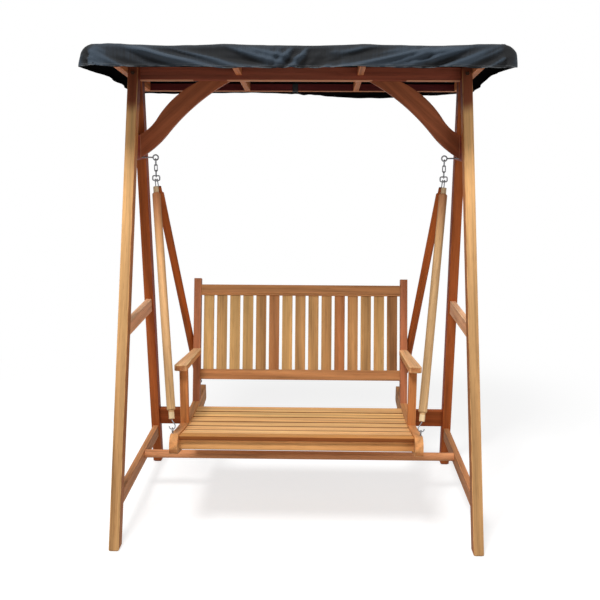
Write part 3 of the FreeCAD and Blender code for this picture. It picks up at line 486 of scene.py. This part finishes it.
# Zinc-plated hooks, chains, bolts and nuts
zinc = {
    "bright": (0.30, 0.305, 0.32, 1.0),
    "dull": (0.11, 0.11, 0.115, 1.0),
    "roughness": 0.30,
    "rust": (0.07, 0.036, 0.023, 1.0),
    "rustRoughness": 0.55,
    "mottle": 160,           # patches and specks a metre
    "mottleCut": (0.35, 0.7),
    "speck": 900,
    "speckCut": (0.55, 0.75),
    "speckTint": (0.7, 0.68, 0.64, 1.0),
    "speckStrength": 0.4,
    "uneven": (0.2, 0.12),   # roughness that patches and specks add
    "speckHeight": 0.5,
    "bump": (0.35, 0.0002),
    "deepRust": 0.5,         # share of the rust's colour in its dark patches
    "pieces": ("bolt", "nuts", "screw", "_chain", "hooks"),   # words in their names
    "rusty": ("apex_bolts", "apex_nuts", "beam_bolts", "rafter_screws"),
}


def makeZinc(name, bright, dull, roughness):
    material, wire, shader = newMaterial(name)
    place = wire.node("TexCoord", out="Object")
    cloudy = place.evenly(zinc["mottle"]).cloud(3.0)
    speck = place.evenly(zinc["speck"]).cloud(1.0).between(*zinc["speckCut"])
    colour = cloudy.between(*zinc["mottleCut"]).mix(bright, dull)
    colour = (speck * zinc["speckStrength"]).tint(colour, zinc["speckTint"])
    patchRough, speckRough = zinc["uneven"]
    relief = cloudy + speck * zinc["speckHeight"]
    plug(shader, Base_Color=colour, Metallic=1.0,
         Roughness=roughness + cloudy * patchRough + speck * speckRough,
         Normal=relief.bump(*zinc["bump"]))
    return material


zincPlate = makeZinc("zinc_plate", zinc["bright"], zinc["dull"], zinc["roughness"])
rustyZinc = makeZinc("rusty_zinc", zinc["rust"], scaled(zinc["rust"], zinc["deepRust"]),
                     zinc["rustRoughness"])
for name in nodes:
    if any(word in name for word in zinc["pieces"]):
        dress(name, rustyZinc if name in zinc["rusty"] else zincPlate)
print("zinc dressed")

# Canopy cover: one sheet over rafters and rails, sagging between them, with a valance all round
canopy = {
    "halfLength": 0.8000,
    "halfDepth": 0.4505,
    "pitch": 6.0,
    "level": 1.892,          # height of the rafters' undersides at the beam
    "crown": 0.0426,         # cloth over the rafters, from their undersides
    "endRoll": 0.036,        # rounding over the ends of the rails
    "edgeRoll": 0.016,
    "cornerRadius": 0.028,
    "rollSteps": 6,
    "valanceSteps": 13,
    "cell": 0.0067,          # side of one square of the mesh
    "thickness": 0.0012,
    "longSide": 0.7,         # an edge that faces front or rear by more than this is a long one
    "frontHem": -0.044,
    "sideHem": 0.002,
    "rearHem": -0.006,
    "sideRear": 0.40,        # from here to the rear the side hem runs down to the rear one
    "sideCurve": 0.75,
    "sideEnd": (-0.06, -0.03),    # metres from the ends, where a long hem turns into a side hem
    "rearDip": (0.017, 0.33, 0.25),   # how deep the rear hem dips, where and how wide
    "hemWaves": ((0.007, 4.1, 3, 1.7), (0.003, 13, 9, 6.1)),   # height, how fine, place in the noise
    "hemTurn": (0.0034, 0.010),   # hem turned in by this much and stitched up to this height
    "hemRound": (0.6, 0.4),       # shares of the turn before and after its lowest point
    "hemBulge": 0.0006,
    "bays": ((-0.652, -0.268), (-0.236, 0.236), (0.268, 0.652)),   # between the supports
    "bayCurve": 0.8,
    "beamDrop": 0.0022,
    "edgeDrop": 0.0055,      # over the rails, which lie lower than the rafters
    "beamToRail": (0.05, 0.43),
    "bayDrop": 0.012,        # deepest sag of a bay
    "bayDepth": (0.035, 0.37),    # from the beam, where the sag starts and how far it reaches
    "topEnds": -0.001,       # lower than this is the rounded edge
    "sagFade": 0.06,
    "crumple": (0.0016, 0.005),   # height of the top's creases and of the pulls at its corners
    "creases": ((1.0, 9, 0, 9, 3.3), (0.5, 23, 9, 21, 5.1)),   # share, how fine and slanting, place
    "cornerPull": (0.35, (0.75, 0.42), (0.82, 0.46), 9),   # reach, from where, rays, how fine
}
folds = {
    "starts": -0.002,
    "swell": 0.03,           # metres down, over which the folds grow
    "slant": (0.13, 0.30, 0.16),      # pulls from a corner: first drop, its reach, then the slope
    "pulls": ((0.5, 21, 2.6, 0), (0.6, 40, 3.8, 1), (0.12, 90, 8, 5)),   # share, how fine, place
    "crease": (0.28, 30, 2.8, 2),
    "creaseShape": (0.5, 2.4, 4),     # level, sharpness, and its start in the noise
    "hand": (3.7, 2, 4.5),   # places in the noise of the front and rear, and of the right half
    "middle": 0.2,           # half width of the part where left pulls turn into right ones
    "steep": ((1.0, 0.02, 0.10), (0.8, 0.46, 0.05)),   # steep creases: share, place and width
    "steepPull": (0.8, 0.75, 34, 6, 9.3),              # strength, slant, how fine, place in the noise
    "streak": 0.050,         # height of the slanting pulls
    "lift": 0.003,
    "ripple": (0.006, 7, 5, 4.4),     # front and rear: height, how fine, place in the noise
    "sideRipple": (0.012, 7, 5),
    "sideCrease": (0.005, 15, 10, 3, 2.6),             # height, how fine and slanting, place
    "facing": (0.3, 0.9),    # from side ripples to front and rear ones, by direction
    "corner": (0.010, (1.0, 72, 9), (-0.25, 42, 15)),  # height, ridge and valley by direction
    "cornerDrop": (0.005, 0.04),
    "hangOut": (0.009, (0.02, 0.085), (88, 60)),       # front left corner
    "deepest": (0.0058, 0.016),       # how far a fold may go in, beside the rails and below them
    "railRoom": 0.02,
    "ridge": (0.011, 1.1, 1.3),       # painted light on fold ridges and shade in hollows: height that counts as 1, loss at a corner (painted shade there), and the most
}


def smooth(low, high, value):
    share = min(max((value - low) / (high - low), 0.0), 1.0)
    return share * share * (3 - 2 * share)


def hump(share, middle, width, value):
    return share * math.exp(-((value - middle) / width) ** 2)


def betweenRafters(x):  # 0 over the rafters and past the outer ones, 1 halfway between two
    for left, right in canopy["bays"]:
        if left <= x <= right:
            return math.sin(math.pi * (x - left) / (right - left)) ** canopy["bayCurve"]
    return 0.0


def hemLevel(x, y):
    c = canopy
    wave = sum(high * noise.noise((x * fineX, y * fineY, place))
               for high, fineX, fineY, place in c["hemWaves"])
    if y < 0:
        along = c["frontHem"]
        rise = max(1 + y / c["halfDepth"], 0.0) ** c["sideCurve"]
        short = c["frontHem"] + (c["sideHem"] - c["frontHem"]) * rise
    else:
        along = c["rearHem"] - hump(*c["rearDip"], x)
        fall = smooth(c["sideRear"], c["halfDepth"], y)
        short = c["sideHem"] + (c["rearHem"] - c["sideHem"]) * fall
    atEnd = smooth(*c["sideEnd"], abs(x) - c["halfLength"])
    return along + (short - along) * atEnd + wave


def fan(reach, drop, hand):
    # Pulls that slant down and away from an upper corner, flatter the farther they reach
    steep, length, slope = folds["slant"]
    way = drop - steep * (1 - math.exp(-reach / length)) - slope * reach
    pulls = sum(share * noise.noise((way * fine, reach * far, hand + place))
                for share, fine, far, place in folds["pulls"])
    share, fine, far, place = folds["crease"]
    base, sharp, start = folds["creaseShape"]
    crease = base - sharp * abs(noise.noise((way * fine + start, reach * far, hand + place)))
    return pulls + share * crease


def valanceFold(x, y, outward, drop):
    firstHand, handStep, rightHand = folds["hand"]
    hand = firstHand + handStep * outward.y
    right = smooth(-folds["middle"], folds["middle"], x)
    pulls = (1 - right) * fan(canopy["halfLength"] + x, drop, hand)
    pulls += right * fan(canopy["halfLength"] - x, drop, hand + rightHand)
    steep = sum(hump(*crease, x) for crease in folds["steep"])
    strength, slant, fine, far, place = folds["steepPull"]
    pulls += strength * steep * noise.noise(((x + slant * drop) * fine, drop * far, place))
    height, fine, far, place = folds["ripple"]
    along = folds["streak"] * pulls + folds["lift"]
    along += height * noise.noise((x * fine, drop * far, place + outward.y))
    height, fine, far = folds["sideRipple"]
    short = height * noise.noise((y * fine, drop * far, x))
    height, fine, slant, far, place = folds["sideCrease"]
    short += height * noise.noise((y * fine + drop * slant, drop * far, place))
    fold = short + (along - short) * smooth(*folds["facing"], abs(outward.y))
    turn = math.degrees(math.atan2(abs(outward.y), abs(outward.x)))   # 0 at a side, 90 in front
    height, ridge, valley = folds["corner"]
    pinch = hump(*ridge, turn) + hump(*valley, turn)
    fold += height * pinch * smooth(*folds["cornerDrop"], drop)
    if x < 0 > y:  # this corner hangs out
        height, drops, turns = folds["hangOut"]
        fold += height * smooth(*drops, drop) * smooth(*turns, turn)
    beside, below = folds["deepest"]
    under = smooth(canopy["crown"], canopy["crown"] + folds["railRoom"], drop)
    deepest = beside + (below - beside) * under
    return fold if fold > 0 else -deepest * (1 - math.exp(fold / deepest))


def raiseToRoof(bm):  # from the level that a piece is modelled at to the canopy's pitch and height
    turn = Matrix.Rotation(-math.radians(canopy["pitch"]), 3, "X")
    bmesh.ops.rotate(bm, cent=(0, 0, 0), matrix=turn, verts=bm.verts)
    bmesh.ops.translate(bm, vec=(0, 0, canopy["level"]), verts=bm.verts)


topX = canopy["halfLength"] - canopy["endRoll"]
topY = canopy["halfDepth"] - canopy["edgeRoll"]
inner = Vector((topX - canopy["cornerRadius"], topY - canopy["cornerRadius"]))


def awayFrom(point):  # direction out of the rounded outline
    heldX = min(max(point.x, -inner.x), inner.x)
    heldY = min(max(point.y, -inner.y), inner.y)
    return (point.xy - Vector((heldX, heldY))).normalized()


def rollOf(outward):  # radius of the rounded edge
    return canopy["edgeRoll"] + (canopy["endRoll"] - canopy["edgeRoll"]) * outward.x ** 2


def layTop(bm):  # a flat grid whose square corners are made round
    radius = canopy["cornerRadius"]
    columns, rows = (round(2 * length / canopy["cell"]) for length in (topX, topY))
    bmesh.ops.create_grid(bm, x_segments=columns, y_segments=rows, size=1.0)
    bmesh.ops.scale(bm, vec=(topX, topY, 1.0), verts=bm.verts)
    for vertex in bm.verts:
        a = max(abs(vertex.co.x) - inner.x, 0.0) / radius
        b = max(abs(vertex.co.y) - inner.y, 0.0) / radius
        if a > 0 and b > 0:
            roundX = inner.x + radius * a * math.sqrt(1 - b * b / 2)
            roundY = inner.y + radius * b * math.sqrt(1 - a * a / 2)
            vertex.co.x = math.copysign(roundX, vertex.co.x)
            vertex.co.y = math.copysign(roundY, vertex.co.y)
    return [edge for edge in bm.edges if edge.is_boundary]


def nextRing(bm, edges):  # one more row of faces along the open edge
    made = bmesh.ops.extrude_edge_only(bm, edges=edges)["geom"]
    edges = [part for part in made if isinstance(part, bmesh.types.BMEdge) and part.is_boundary]
    return edges, {vertex for edge in edges for vertex in edge.verts}


def rollEdge(bm, edges):  # over the edge of the top
    steps = canopy["rollSteps"]
    for step in range(1, steps + 1):
        edges, ring = nextRing(bm, edges)
        before, after = (math.pi / 2 * count / steps for count in (step - 1, step))
        for vertex in ring:
            outward = awayFrom(vertex.co)
            bend = rollOf(outward)
            vertex.co.xy += outward * bend * (math.sin(after) - math.sin(before))
            vertex.co.z -= bend * (math.cos(before) - math.cos(after))
    return edges


def dropValance(bm, edges, layers):  # down to the hem
    steps = canopy["valanceSteps"]
    for step in range(1, steps + 1):
        edges, ring = nextRing(bm, edges)
        for vertex in ring:
            outward = awayFrom(vertex.co)
            start = -rollOf(outward)
            hem = hemLevel(vertex.co.x, vertex.co.y) - canopy["crown"]
            vertex.co.z = start + (hem - start) * step / steps
            vertex[layers["fall"]] = start - vertex.co.z
            vertex[layers["hemDistance"]] = vertex.co.z - hem
            onLongSide = abs(outward.y) > canopy["longSide"]
            vertex[layers["along"]] = vertex.co.x if onLongSide else vertex.co.y
    return edges


def turnHem(bm, edges, layers):  # round the hem and up behind it
    inward, upward = canopy["hemTurn"]
    first, second = canopy["hemRound"]
    bulge = canopy["hemBulge"]
    outerCount = len(bm.faces)
    turnIn = ((first, -bulge), (second, bulge), (0.0, upward / 2), (0.0, upward / 2))
    for step, (aside, rise) in enumerate(turnIn):
        edges, ring = nextRing(bm, edges)
        for vertex in ring:
            vertex.co.xy -= awayFrom(vertex.co) * inward * aside
            vertex.co.z += rise
            vertex[layers["hemDistance"]] = max(step - 1, 0) * upward / 2
    bm.faces.ensure_lookup_table()
    for face in bm.faces[outerCount:]:
        face.material_index = 1


def layWeave(bm):  # metres across and along the cloth, for its threads
    weave = bm.loops.layers.uv.new("weave")
    bm.normal_update()
    for face in bm.faces:
        face.smooth = True
        flat = max(range(3), key=lambda axis: abs(face.normal[axis]))
        for loop in face.loops:
            x, y, z = loop.vert.co
            loop[weave].uv = ((y, z), (x, z), (x, y))[flat]


def crumpleTop(x, y):  # creases all over the top, and pulls at its corners
    crumple = sum(share * noise.noise((x * fineX + y * slant, y * fineY, place))
                  for share, fineX, slant, fineY, place in canopy["creases"])
    reach, (startX, startY), (centreX, centreY), fine = canopy["cornerPull"]
    near = smooth(reach, 0.0, math.hypot(abs(x) - startX, abs(y) - startY))
    ray = math.atan2(abs(y) - centreY, abs(x) - centreX) * fine   # round a point past the corner
    return crumple, noise.noise((ray, x, y)) * near


def sagAndFold(bm, layers):
    c = canopy
    for vertex in bm.verts:
        x, y, z = vertex.co
        outward = awayFrom(vertex.co)
        gap = betweenRafters(x)
        toRail = smooth(*c["beamToRail"], abs(y))
        sink = gap * (c["beamDrop"] + (c["edgeDrop"] - c["beamDrop"]) * toRail)
        if z > c["topEnds"]:
            sagStart, sagReach = c["bayDepth"]
            across = min(max(abs(y) - sagStart, 0.0) / sagReach, 1.0)
            sink += c["bayDrop"] * gap * math.sin(math.pi * across)
            crumple, pull = crumpleTop(x, y)
            creaseHeight, pullHeight = c["crumple"]
            vertex.co.z += creaseHeight * max(crumple + 0.5, 0.0) + pullHeight * max(pull, 0.0)
            # the ridge layer paints light on raised creases and shade on low ones
            vertex[layers["ridge"]] = 0.5 * crumple + pull
        vertex.co.z -= sink * (1 - smooth(0.0, c["sagFade"], vertex[layers["fall"]]))
        if z < folds["starts"]:
            fold = smooth(0.0, folds["swell"], -z) * valanceFold(x, y, outward, -z)
            vertex.co.xy += outward * fold
            # the ridge layer paints light on fold ridges and shade in hollows and at the corners
            full, loss, most = folds["ridge"]
            corner = 4 * outward.x ** 2 * outward.y ** 2   # 1 halfway round a corner
            vertex[layers["ridge"]] = min(max(fold / full - loss * corner, -most), most)


def makeCanopy():
    # Layers: metres down from the top edge, up from the hem and along it, and height of a fold, which
    # the cloth paints as light and shade
    bm = bmesh.new()
    layers = {name: bm.verts.layers.float.new(name)
              for name in ("fall", "hemDistance", "along", "ridge")}
    edges = layTop(bm)
    for vertex in bm.verts:
        vertex[layers["hemDistance"]] = 1.0   # far from the hem
    edges = rollEdge(bm, edges)
    edges = dropValance(bm, edges, layers)
    turnHem(bm, edges, layers)
    layWeave(bm)
    sagAndFold(bm, layers)
    bmesh.ops.translate(bm, vec=(0, 0, canopy["crown"]), verts=bm.verts)
    raiseToRoof(bm)
    cloth = addPiece("canopy_cloth", bm)
    wall = cloth.modifiers.new("cloth", "SOLIDIFY")
    wall.thickness = canopy["thickness"]
    wall.offset = -1.0
    wall.material_offset = 1
    return cloth


slate = {
    "yarn": tone(43, 54, 65),
    "deep": tone(8, 10, 13),
    "thread": tone(92, 95, 98),
    "underside": (0.0042, 0.0042, 0.0046, 1.0),
    "threadPitch": 0.0015,    # metres between threads
    "unsteady": 0.4,          # how far threads run out of line
    "slub": (60, 1400),       # how fine thick places are along a thread and across it
    "fade": (5, 5, 9),
    "streaks": (190, 14, 1),
    "shares": {"threads": 0.2, "slub": 0.4, "fade": 0.35, "streaks": 0.45, "ridge": 0.46},
    "shadeCut": (0.05, 0.85),
    "middle": (0.25, 0.60, 0.15),     # painted shade, darker in the middle: from, to, by how much
    "hemDepth": 0.0085,
    "stitch": 0.0034,
    "stitchGap": (0.25, 0.4),
    "stitchWidth": (0.0004, 0.0012),
    "stitchStrength": 0.5,
    "doubled": (-0.001, 0.002),       # metres from the stitching, where the double cloth ends
    "lip": (0.0020, 0.0052),  # pale broken line along the hem's lower edge
    "lipGrain": 30,
    "lipCut": (0.40, 0.62),
    "lipStrength": 0.85,
    "relief": {"threads": 0.25, "slub": 0.2, "doubled": 0.7, "stitch": 0.5},
    "bump": (0.6, 0.0005),
    "roughness": (0.72, 0.15),        # all over, and more at thick places
    "sheen": (0.06, 0.5),             # weight and roughness
    "gloss": 0.3,
    "undersideGrain": 500,
    "undersidePale": 2.2,
    "undersideRoughness": (0.7, 0.2),
    "undersideBump": (0.4, 0.0004),
}


def makeSlateCloth():
    material, wire, shader = newMaterial("slate_cloth")
    weave = wire.node("UVMap", {"uv_map": "weave"})
    threads = {"Vector": weave, "Scale": math.pi / 10 / slate["threadPitch"],   # bands to the pitch
               "Distortion": slate["unsteady"], "Detail": 1.0}
    wide, long = (wire.node("TexWave", {"bands_direction": way}, threads) for way in "XY")
    place = wire.node("TexCoord", out="Object")
    coarse, fine = slate["slub"]
    slub = weave.stretch(coarse, fine, 1).cloud(1.0) * 0.5
    slub = slub + weave.stretch(fine, coarse, 1).cloud(1.0) * 0.5
    faded = place.stretch(*slate["fade"]).cloud(3.0)
    streaks = weave.stretch(*slate["streaks"]).cloud(2.0) - 0.5
    hem, along, ridge = (wire.node("Attribute", {"attribute_name": layer}, out="Fac")
                         for layer in ("hemDistance", "along", "ridge"))
    share = slate["shares"]
    shade = wide * share["threads"] + long * share["threads"] + slub * share["slub"]
    shade = shade + (faded - 0.5) * share["fade"] + streaks * share["streaks"]
    # painted light on fold ridges, painted shade in hollows and at corners
    shade = shade + ridge * share["ridge"]
    # painted shade: darker in the middle of the cloth
    near, far, darker = slate["middle"]
    shade = shade - (1 - abs(place.parts()[0]).between(near, far)) * darker
    colour = shade.between(*slate["shadeCut"]).mix(slate["deep"], slate["yarn"])
    dash = (along / slate["stitch"]).fraction().between(*slate["stitchGap"])
    row = 1 - abs(hem - slate["hemDepth"]).between(*slate["stitchWidth"])
    doubled = 1 - (hem - slate["hemDepth"]).between(*slate["doubled"])
    lipBreaks = place.evenly(slate["lipGrain"]).cloud(2.0).between(*slate["lipCut"])
    lip = (1 - hem.between(*slate["lip"])) * lipBreaks
    colour = (row * dash * slate["stitchStrength"]).mix(colour, slate["thread"])
    colour = (lip * slate["lipStrength"]).mix(colour, slate["thread"])
    share = slate["relief"]
    height = wide * share["threads"] + long * share["threads"] + slub * share["slub"]
    height = height + doubled * share["doubled"] - row * (1 - dash) * share["stitch"]
    plain, slubRough = slate["roughness"]
    sheen, sheenRough = slate["sheen"]
    plug(shader, Base_Color=colour, Roughness=plain + slub * slubRough,
         Normal=height.bump(*slate["bump"]), Sheen_Weight=sheen, Sheen_Roughness=sheenRough,
         Specular_IOR_Level=slate["gloss"])
    return material


def makeUnderside():
    material, wire, shader = newMaterial("cloth_underside")
    slub = wire.node("UVMap", {"uv_map": "weave"}).evenly(slate["undersideGrain"]).cloud(2.0)
    colour = slub.mix(slate["underside"], scaled(slate["underside"], slate["undersidePale"]))
    plain, slubRough = slate["undersideRoughness"]
    plug(shader, Base_Color=colour, Roughness=plain + slub * slubRough,
         Normal=slub.bump(*slate["undersideBump"]), Specular_IOR_Level=0.0)
    return material


cloth = makeCanopy()
cloth.data.materials.append(makeSlateCloth())
cloth.data.materials.append(makeUnderside())
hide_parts("canopy_cover")
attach(cloth, "frame")
print("canopy hung:", len(cloth.data.polygons), "faces")

# Webbing loop round the rear rail
strap = {
    "place": -0.030,
    "width": 0.026,
    "rail": (0.4175, 0.4425, 0.0, 0.034),   # rear rail's depth and height, level
    "room": 0.0014,
    "corner": 0.0052,
    "cornerSteps": 5,
    "cuts": (5, 4),           # along the flat runs and across the webbing
    "thickness": 0.0016,
    "rib": 0.0018,            # metres between ribs, and between picks
    "pick": 0.0012,
    "dark": (0.006, 0.006, 0.007, 1.0),
    "pale": (0.022, 0.022, 0.024, 1.0),
    "contrast": 4.0,
    "roughness": (0.62, 0.3),     # all over, and more on ribs
    "pickHeight": 0.5,
    "bump": (0.6, 0.0004),
}


def makeStrap():
    s = strap
    near, far, low, high = s["rail"]

    def crosses(edge):  # from one rim of the webbing to the other
        return abs(edge.verts[0].co.x - edge.verts[1].co.x) > s["width"] / 2

    bm = bmesh.new()
    bmesh.ops.create_cube(bm, size=1.0)
    size = (s["width"], far - near + 2 * s["room"], high - low + 2 * s["room"])
    bmesh.ops.scale(bm, vec=size, verts=bm.verts)
    ends = [face for face in bm.faces if abs(face.normal.x) > 0.5]
    bmesh.ops.delete(bm, geom=ends, context="FACES_ONLY")
    corners = [edge for edge in bm.edges if crosses(edge)]
    bmesh.ops.bevel(bm, geom=corners, offset=s["corner"], offset_type="OFFSET", affect="EDGES",
                    segments=s["cornerSteps"], profile=0.5, material=-1)
    runCuts, crossCuts = s["cuts"]
    rims = [edge for edge in bm.edges if not crosses(edge)]
    runs = [edge for edge in rims if edge.calc_length() > s["corner"]]
    bmesh.ops.subdivide_edges(bm, edges=runs, cuts=runCuts, use_grid_fill=True)
    across = [edge for edge in bm.edges if crosses(edge)]
    bmesh.ops.subdivide_edges(bm, edges=across, cuts=crossCuts, use_grid_fill=True)
    bmesh.ops.recalc_face_normals(bm, faces=bm.faces)
    for face in bm.faces:
        face.smooth = True
    middle = Vector((s["place"], (near + far) / 2, (low + high) / 2))
    bmesh.ops.translate(bm, vec=middle, verts=bm.verts)
    raiseToRoof(bm)
    webbing = addPiece("canopy_webbing", bm)
    wall = webbing.modifiers.new("webbing", "SOLIDIFY")
    wall.thickness = s["thickness"]
    wall.offset = 0.0
    return webbing


def makeBlackWebbing():
    material, wire, shader = newMaterial("black_webbing")
    x, y, z = wire.node("TexCoord", out="Object").parts()
    rib = ((x - strap["place"]) / strap["rib"]).pingpong(0.5)
    pick = ((y + z) / strap["pick"]).pingpong(0.5)
    colour = (rib * pick * strap["contrast"]).mix(strap["dark"], strap["pale"])
    plain, ribRough = strap["roughness"]
    relief = rib + pick * strap["pickHeight"]
    plug(shader, Base_Color=colour, Roughness=plain + rib * ribRough,
         Normal=relief.bump(*strap["bump"]))
    return material


webbing = makeStrap()
webbing.data.materials.append(makeBlackWebbing())
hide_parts("canopy_strap")
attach(webbing, "frame")
print("strap looped")

# Studio
studio = {
    "floorColour": (0.50, 0.50, 0.50, 1.0),
    "floorRoughness": 0.9,
    "floorGlow": 0.66,
    "floorSize": 30.0,
    "whiteFrom": 1.2,        # metres from the middle where the floor starts to fade to white
    "whiteAt": 3.2,
    "sky": 0.36,
    "key": ((-1.0, -3.4, 5.4), 1.5, 300),   # place, size, watts
    "fill": ((3.4, -4.0, 2.2), 3.0, 60),
    "lampAim": (0, 0, 0.9),
}
cameraView = {
    "place": (0.084, -3.6833, 1.6768),
    "pitchDown": 11.296,
    "yawLeft": 1.2427,
    "roll": -0.188,
    "focalPixels": 857.28,
    "imagePixels": 600,
    "sensor": 36.0,
}
white = (1, 1, 1, 1)


def seenDirectly(wire):  # camera rays, and the rays by which metal and glass show the background
    path = wire.node("LightPath").socket.node
    camera, glossy, through = (Wire(wire.tree, path.outputs["Is " + kind + " Ray"])
                               for kind in ("Camera", "Glossy", "Transmission"))
    return camera.most(glossy).most(through)


def makeFloor():
    bm = bmesh.new()
    bmesh.ops.create_grid(bm, x_segments=1, y_segments=1, size=studio["floorSize"])
    floor = addPiece("floor", bm)
    material, wire, shader = newMaterial("pale_floor")
    direct = seenDirectly(wire)
    glow = (direct * studio["floorGlow"]).mix((0, 0, 0, 1), white)
    plug(shader, Base_Color=studio["floorColour"], Roughness=studio["floorRoughness"],
         Specular_IOR_Level=0.0, Emission_Color=glow, Emission_Strength=1.0)
    x, y, z = wire.node("TexCoord", out="Object").parts()
    away = ((x * x + y * y) ** 0.5).between(studio["whiteFrom"], studio["whiteAt"])
    blank = wire.node("Emission", {}, {"Color": white, "Strength": 1.0})
    blend = wire.node("MixShader", {}, {0: away * direct, 2: blank})
    tree = material.node_tree
    tree.links.new(shader.outputs[0], blend.socket.node.inputs[1])
    tree.links.new(blend.socket, tree.nodes["Material Output"].inputs["Surface"])
    floor.data.materials.append(material)


def makeLamp(name, place, size, power):
    light = bpy.data.lights.new(name, "AREA")
    light.size = size
    light.energy = power
    lamp = bpy.data.objects.new(name, light)
    lamp.location = place
    aim = Vector(studio["lampAim"]) - Vector(place)
    lamp.rotation_euler = aim.to_track_quat("-Z", "Y").to_euler()
    bpy.context.scene.collection.objects.link(lamp)


def makeCamera():
    view = cameraView
    lens = bpy.data.cameras.new("photo_camera")
    lens.sensor_width = view["sensor"]
    lens.lens = view["focalPixels"] / view["imagePixels"] * lens.sensor_width
    camera = bpy.data.objects.new("photo_camera", lens)
    pitch, yaw, roll = (math.radians(view[name]) for name in ("pitchDown", "yawLeft", "roll"))
    turn = Matrix.Rotation(yaw, 4, "Z") @ Matrix.Rotation(math.pi / 2 - pitch, 4, "X")
    turn = turn @ Matrix.Rotation(-roll, 4, "Z")
    camera.matrix_world = Matrix.Translation(view["place"]) @ turn
    bpy.context.scene.collection.objects.link(camera)
    bpy.context.scene.camera = camera


def makeSky():
    world = bpy.data.worlds.new("studio")
    bpy.context.scene.world = world
    world.use_nodes = True
    wire = Wire(world.node_tree)
    strength = seenDirectly(wire) * (1.0 - studio["sky"]) + studio["sky"]
    back = world.node_tree.nodes["Background"]
    back.inputs["Color"].default_value = white
    world.node_tree.links.new(strength.socket, back.inputs["Strength"])


makeSky()
makeFloor()
makeLamp("key", *studio["key"])
makeLamp("fill", *studio["fill"])
makeCamera()
bpy.context.scene.view_settings.view_transform = "Standard"
print("studio ready")
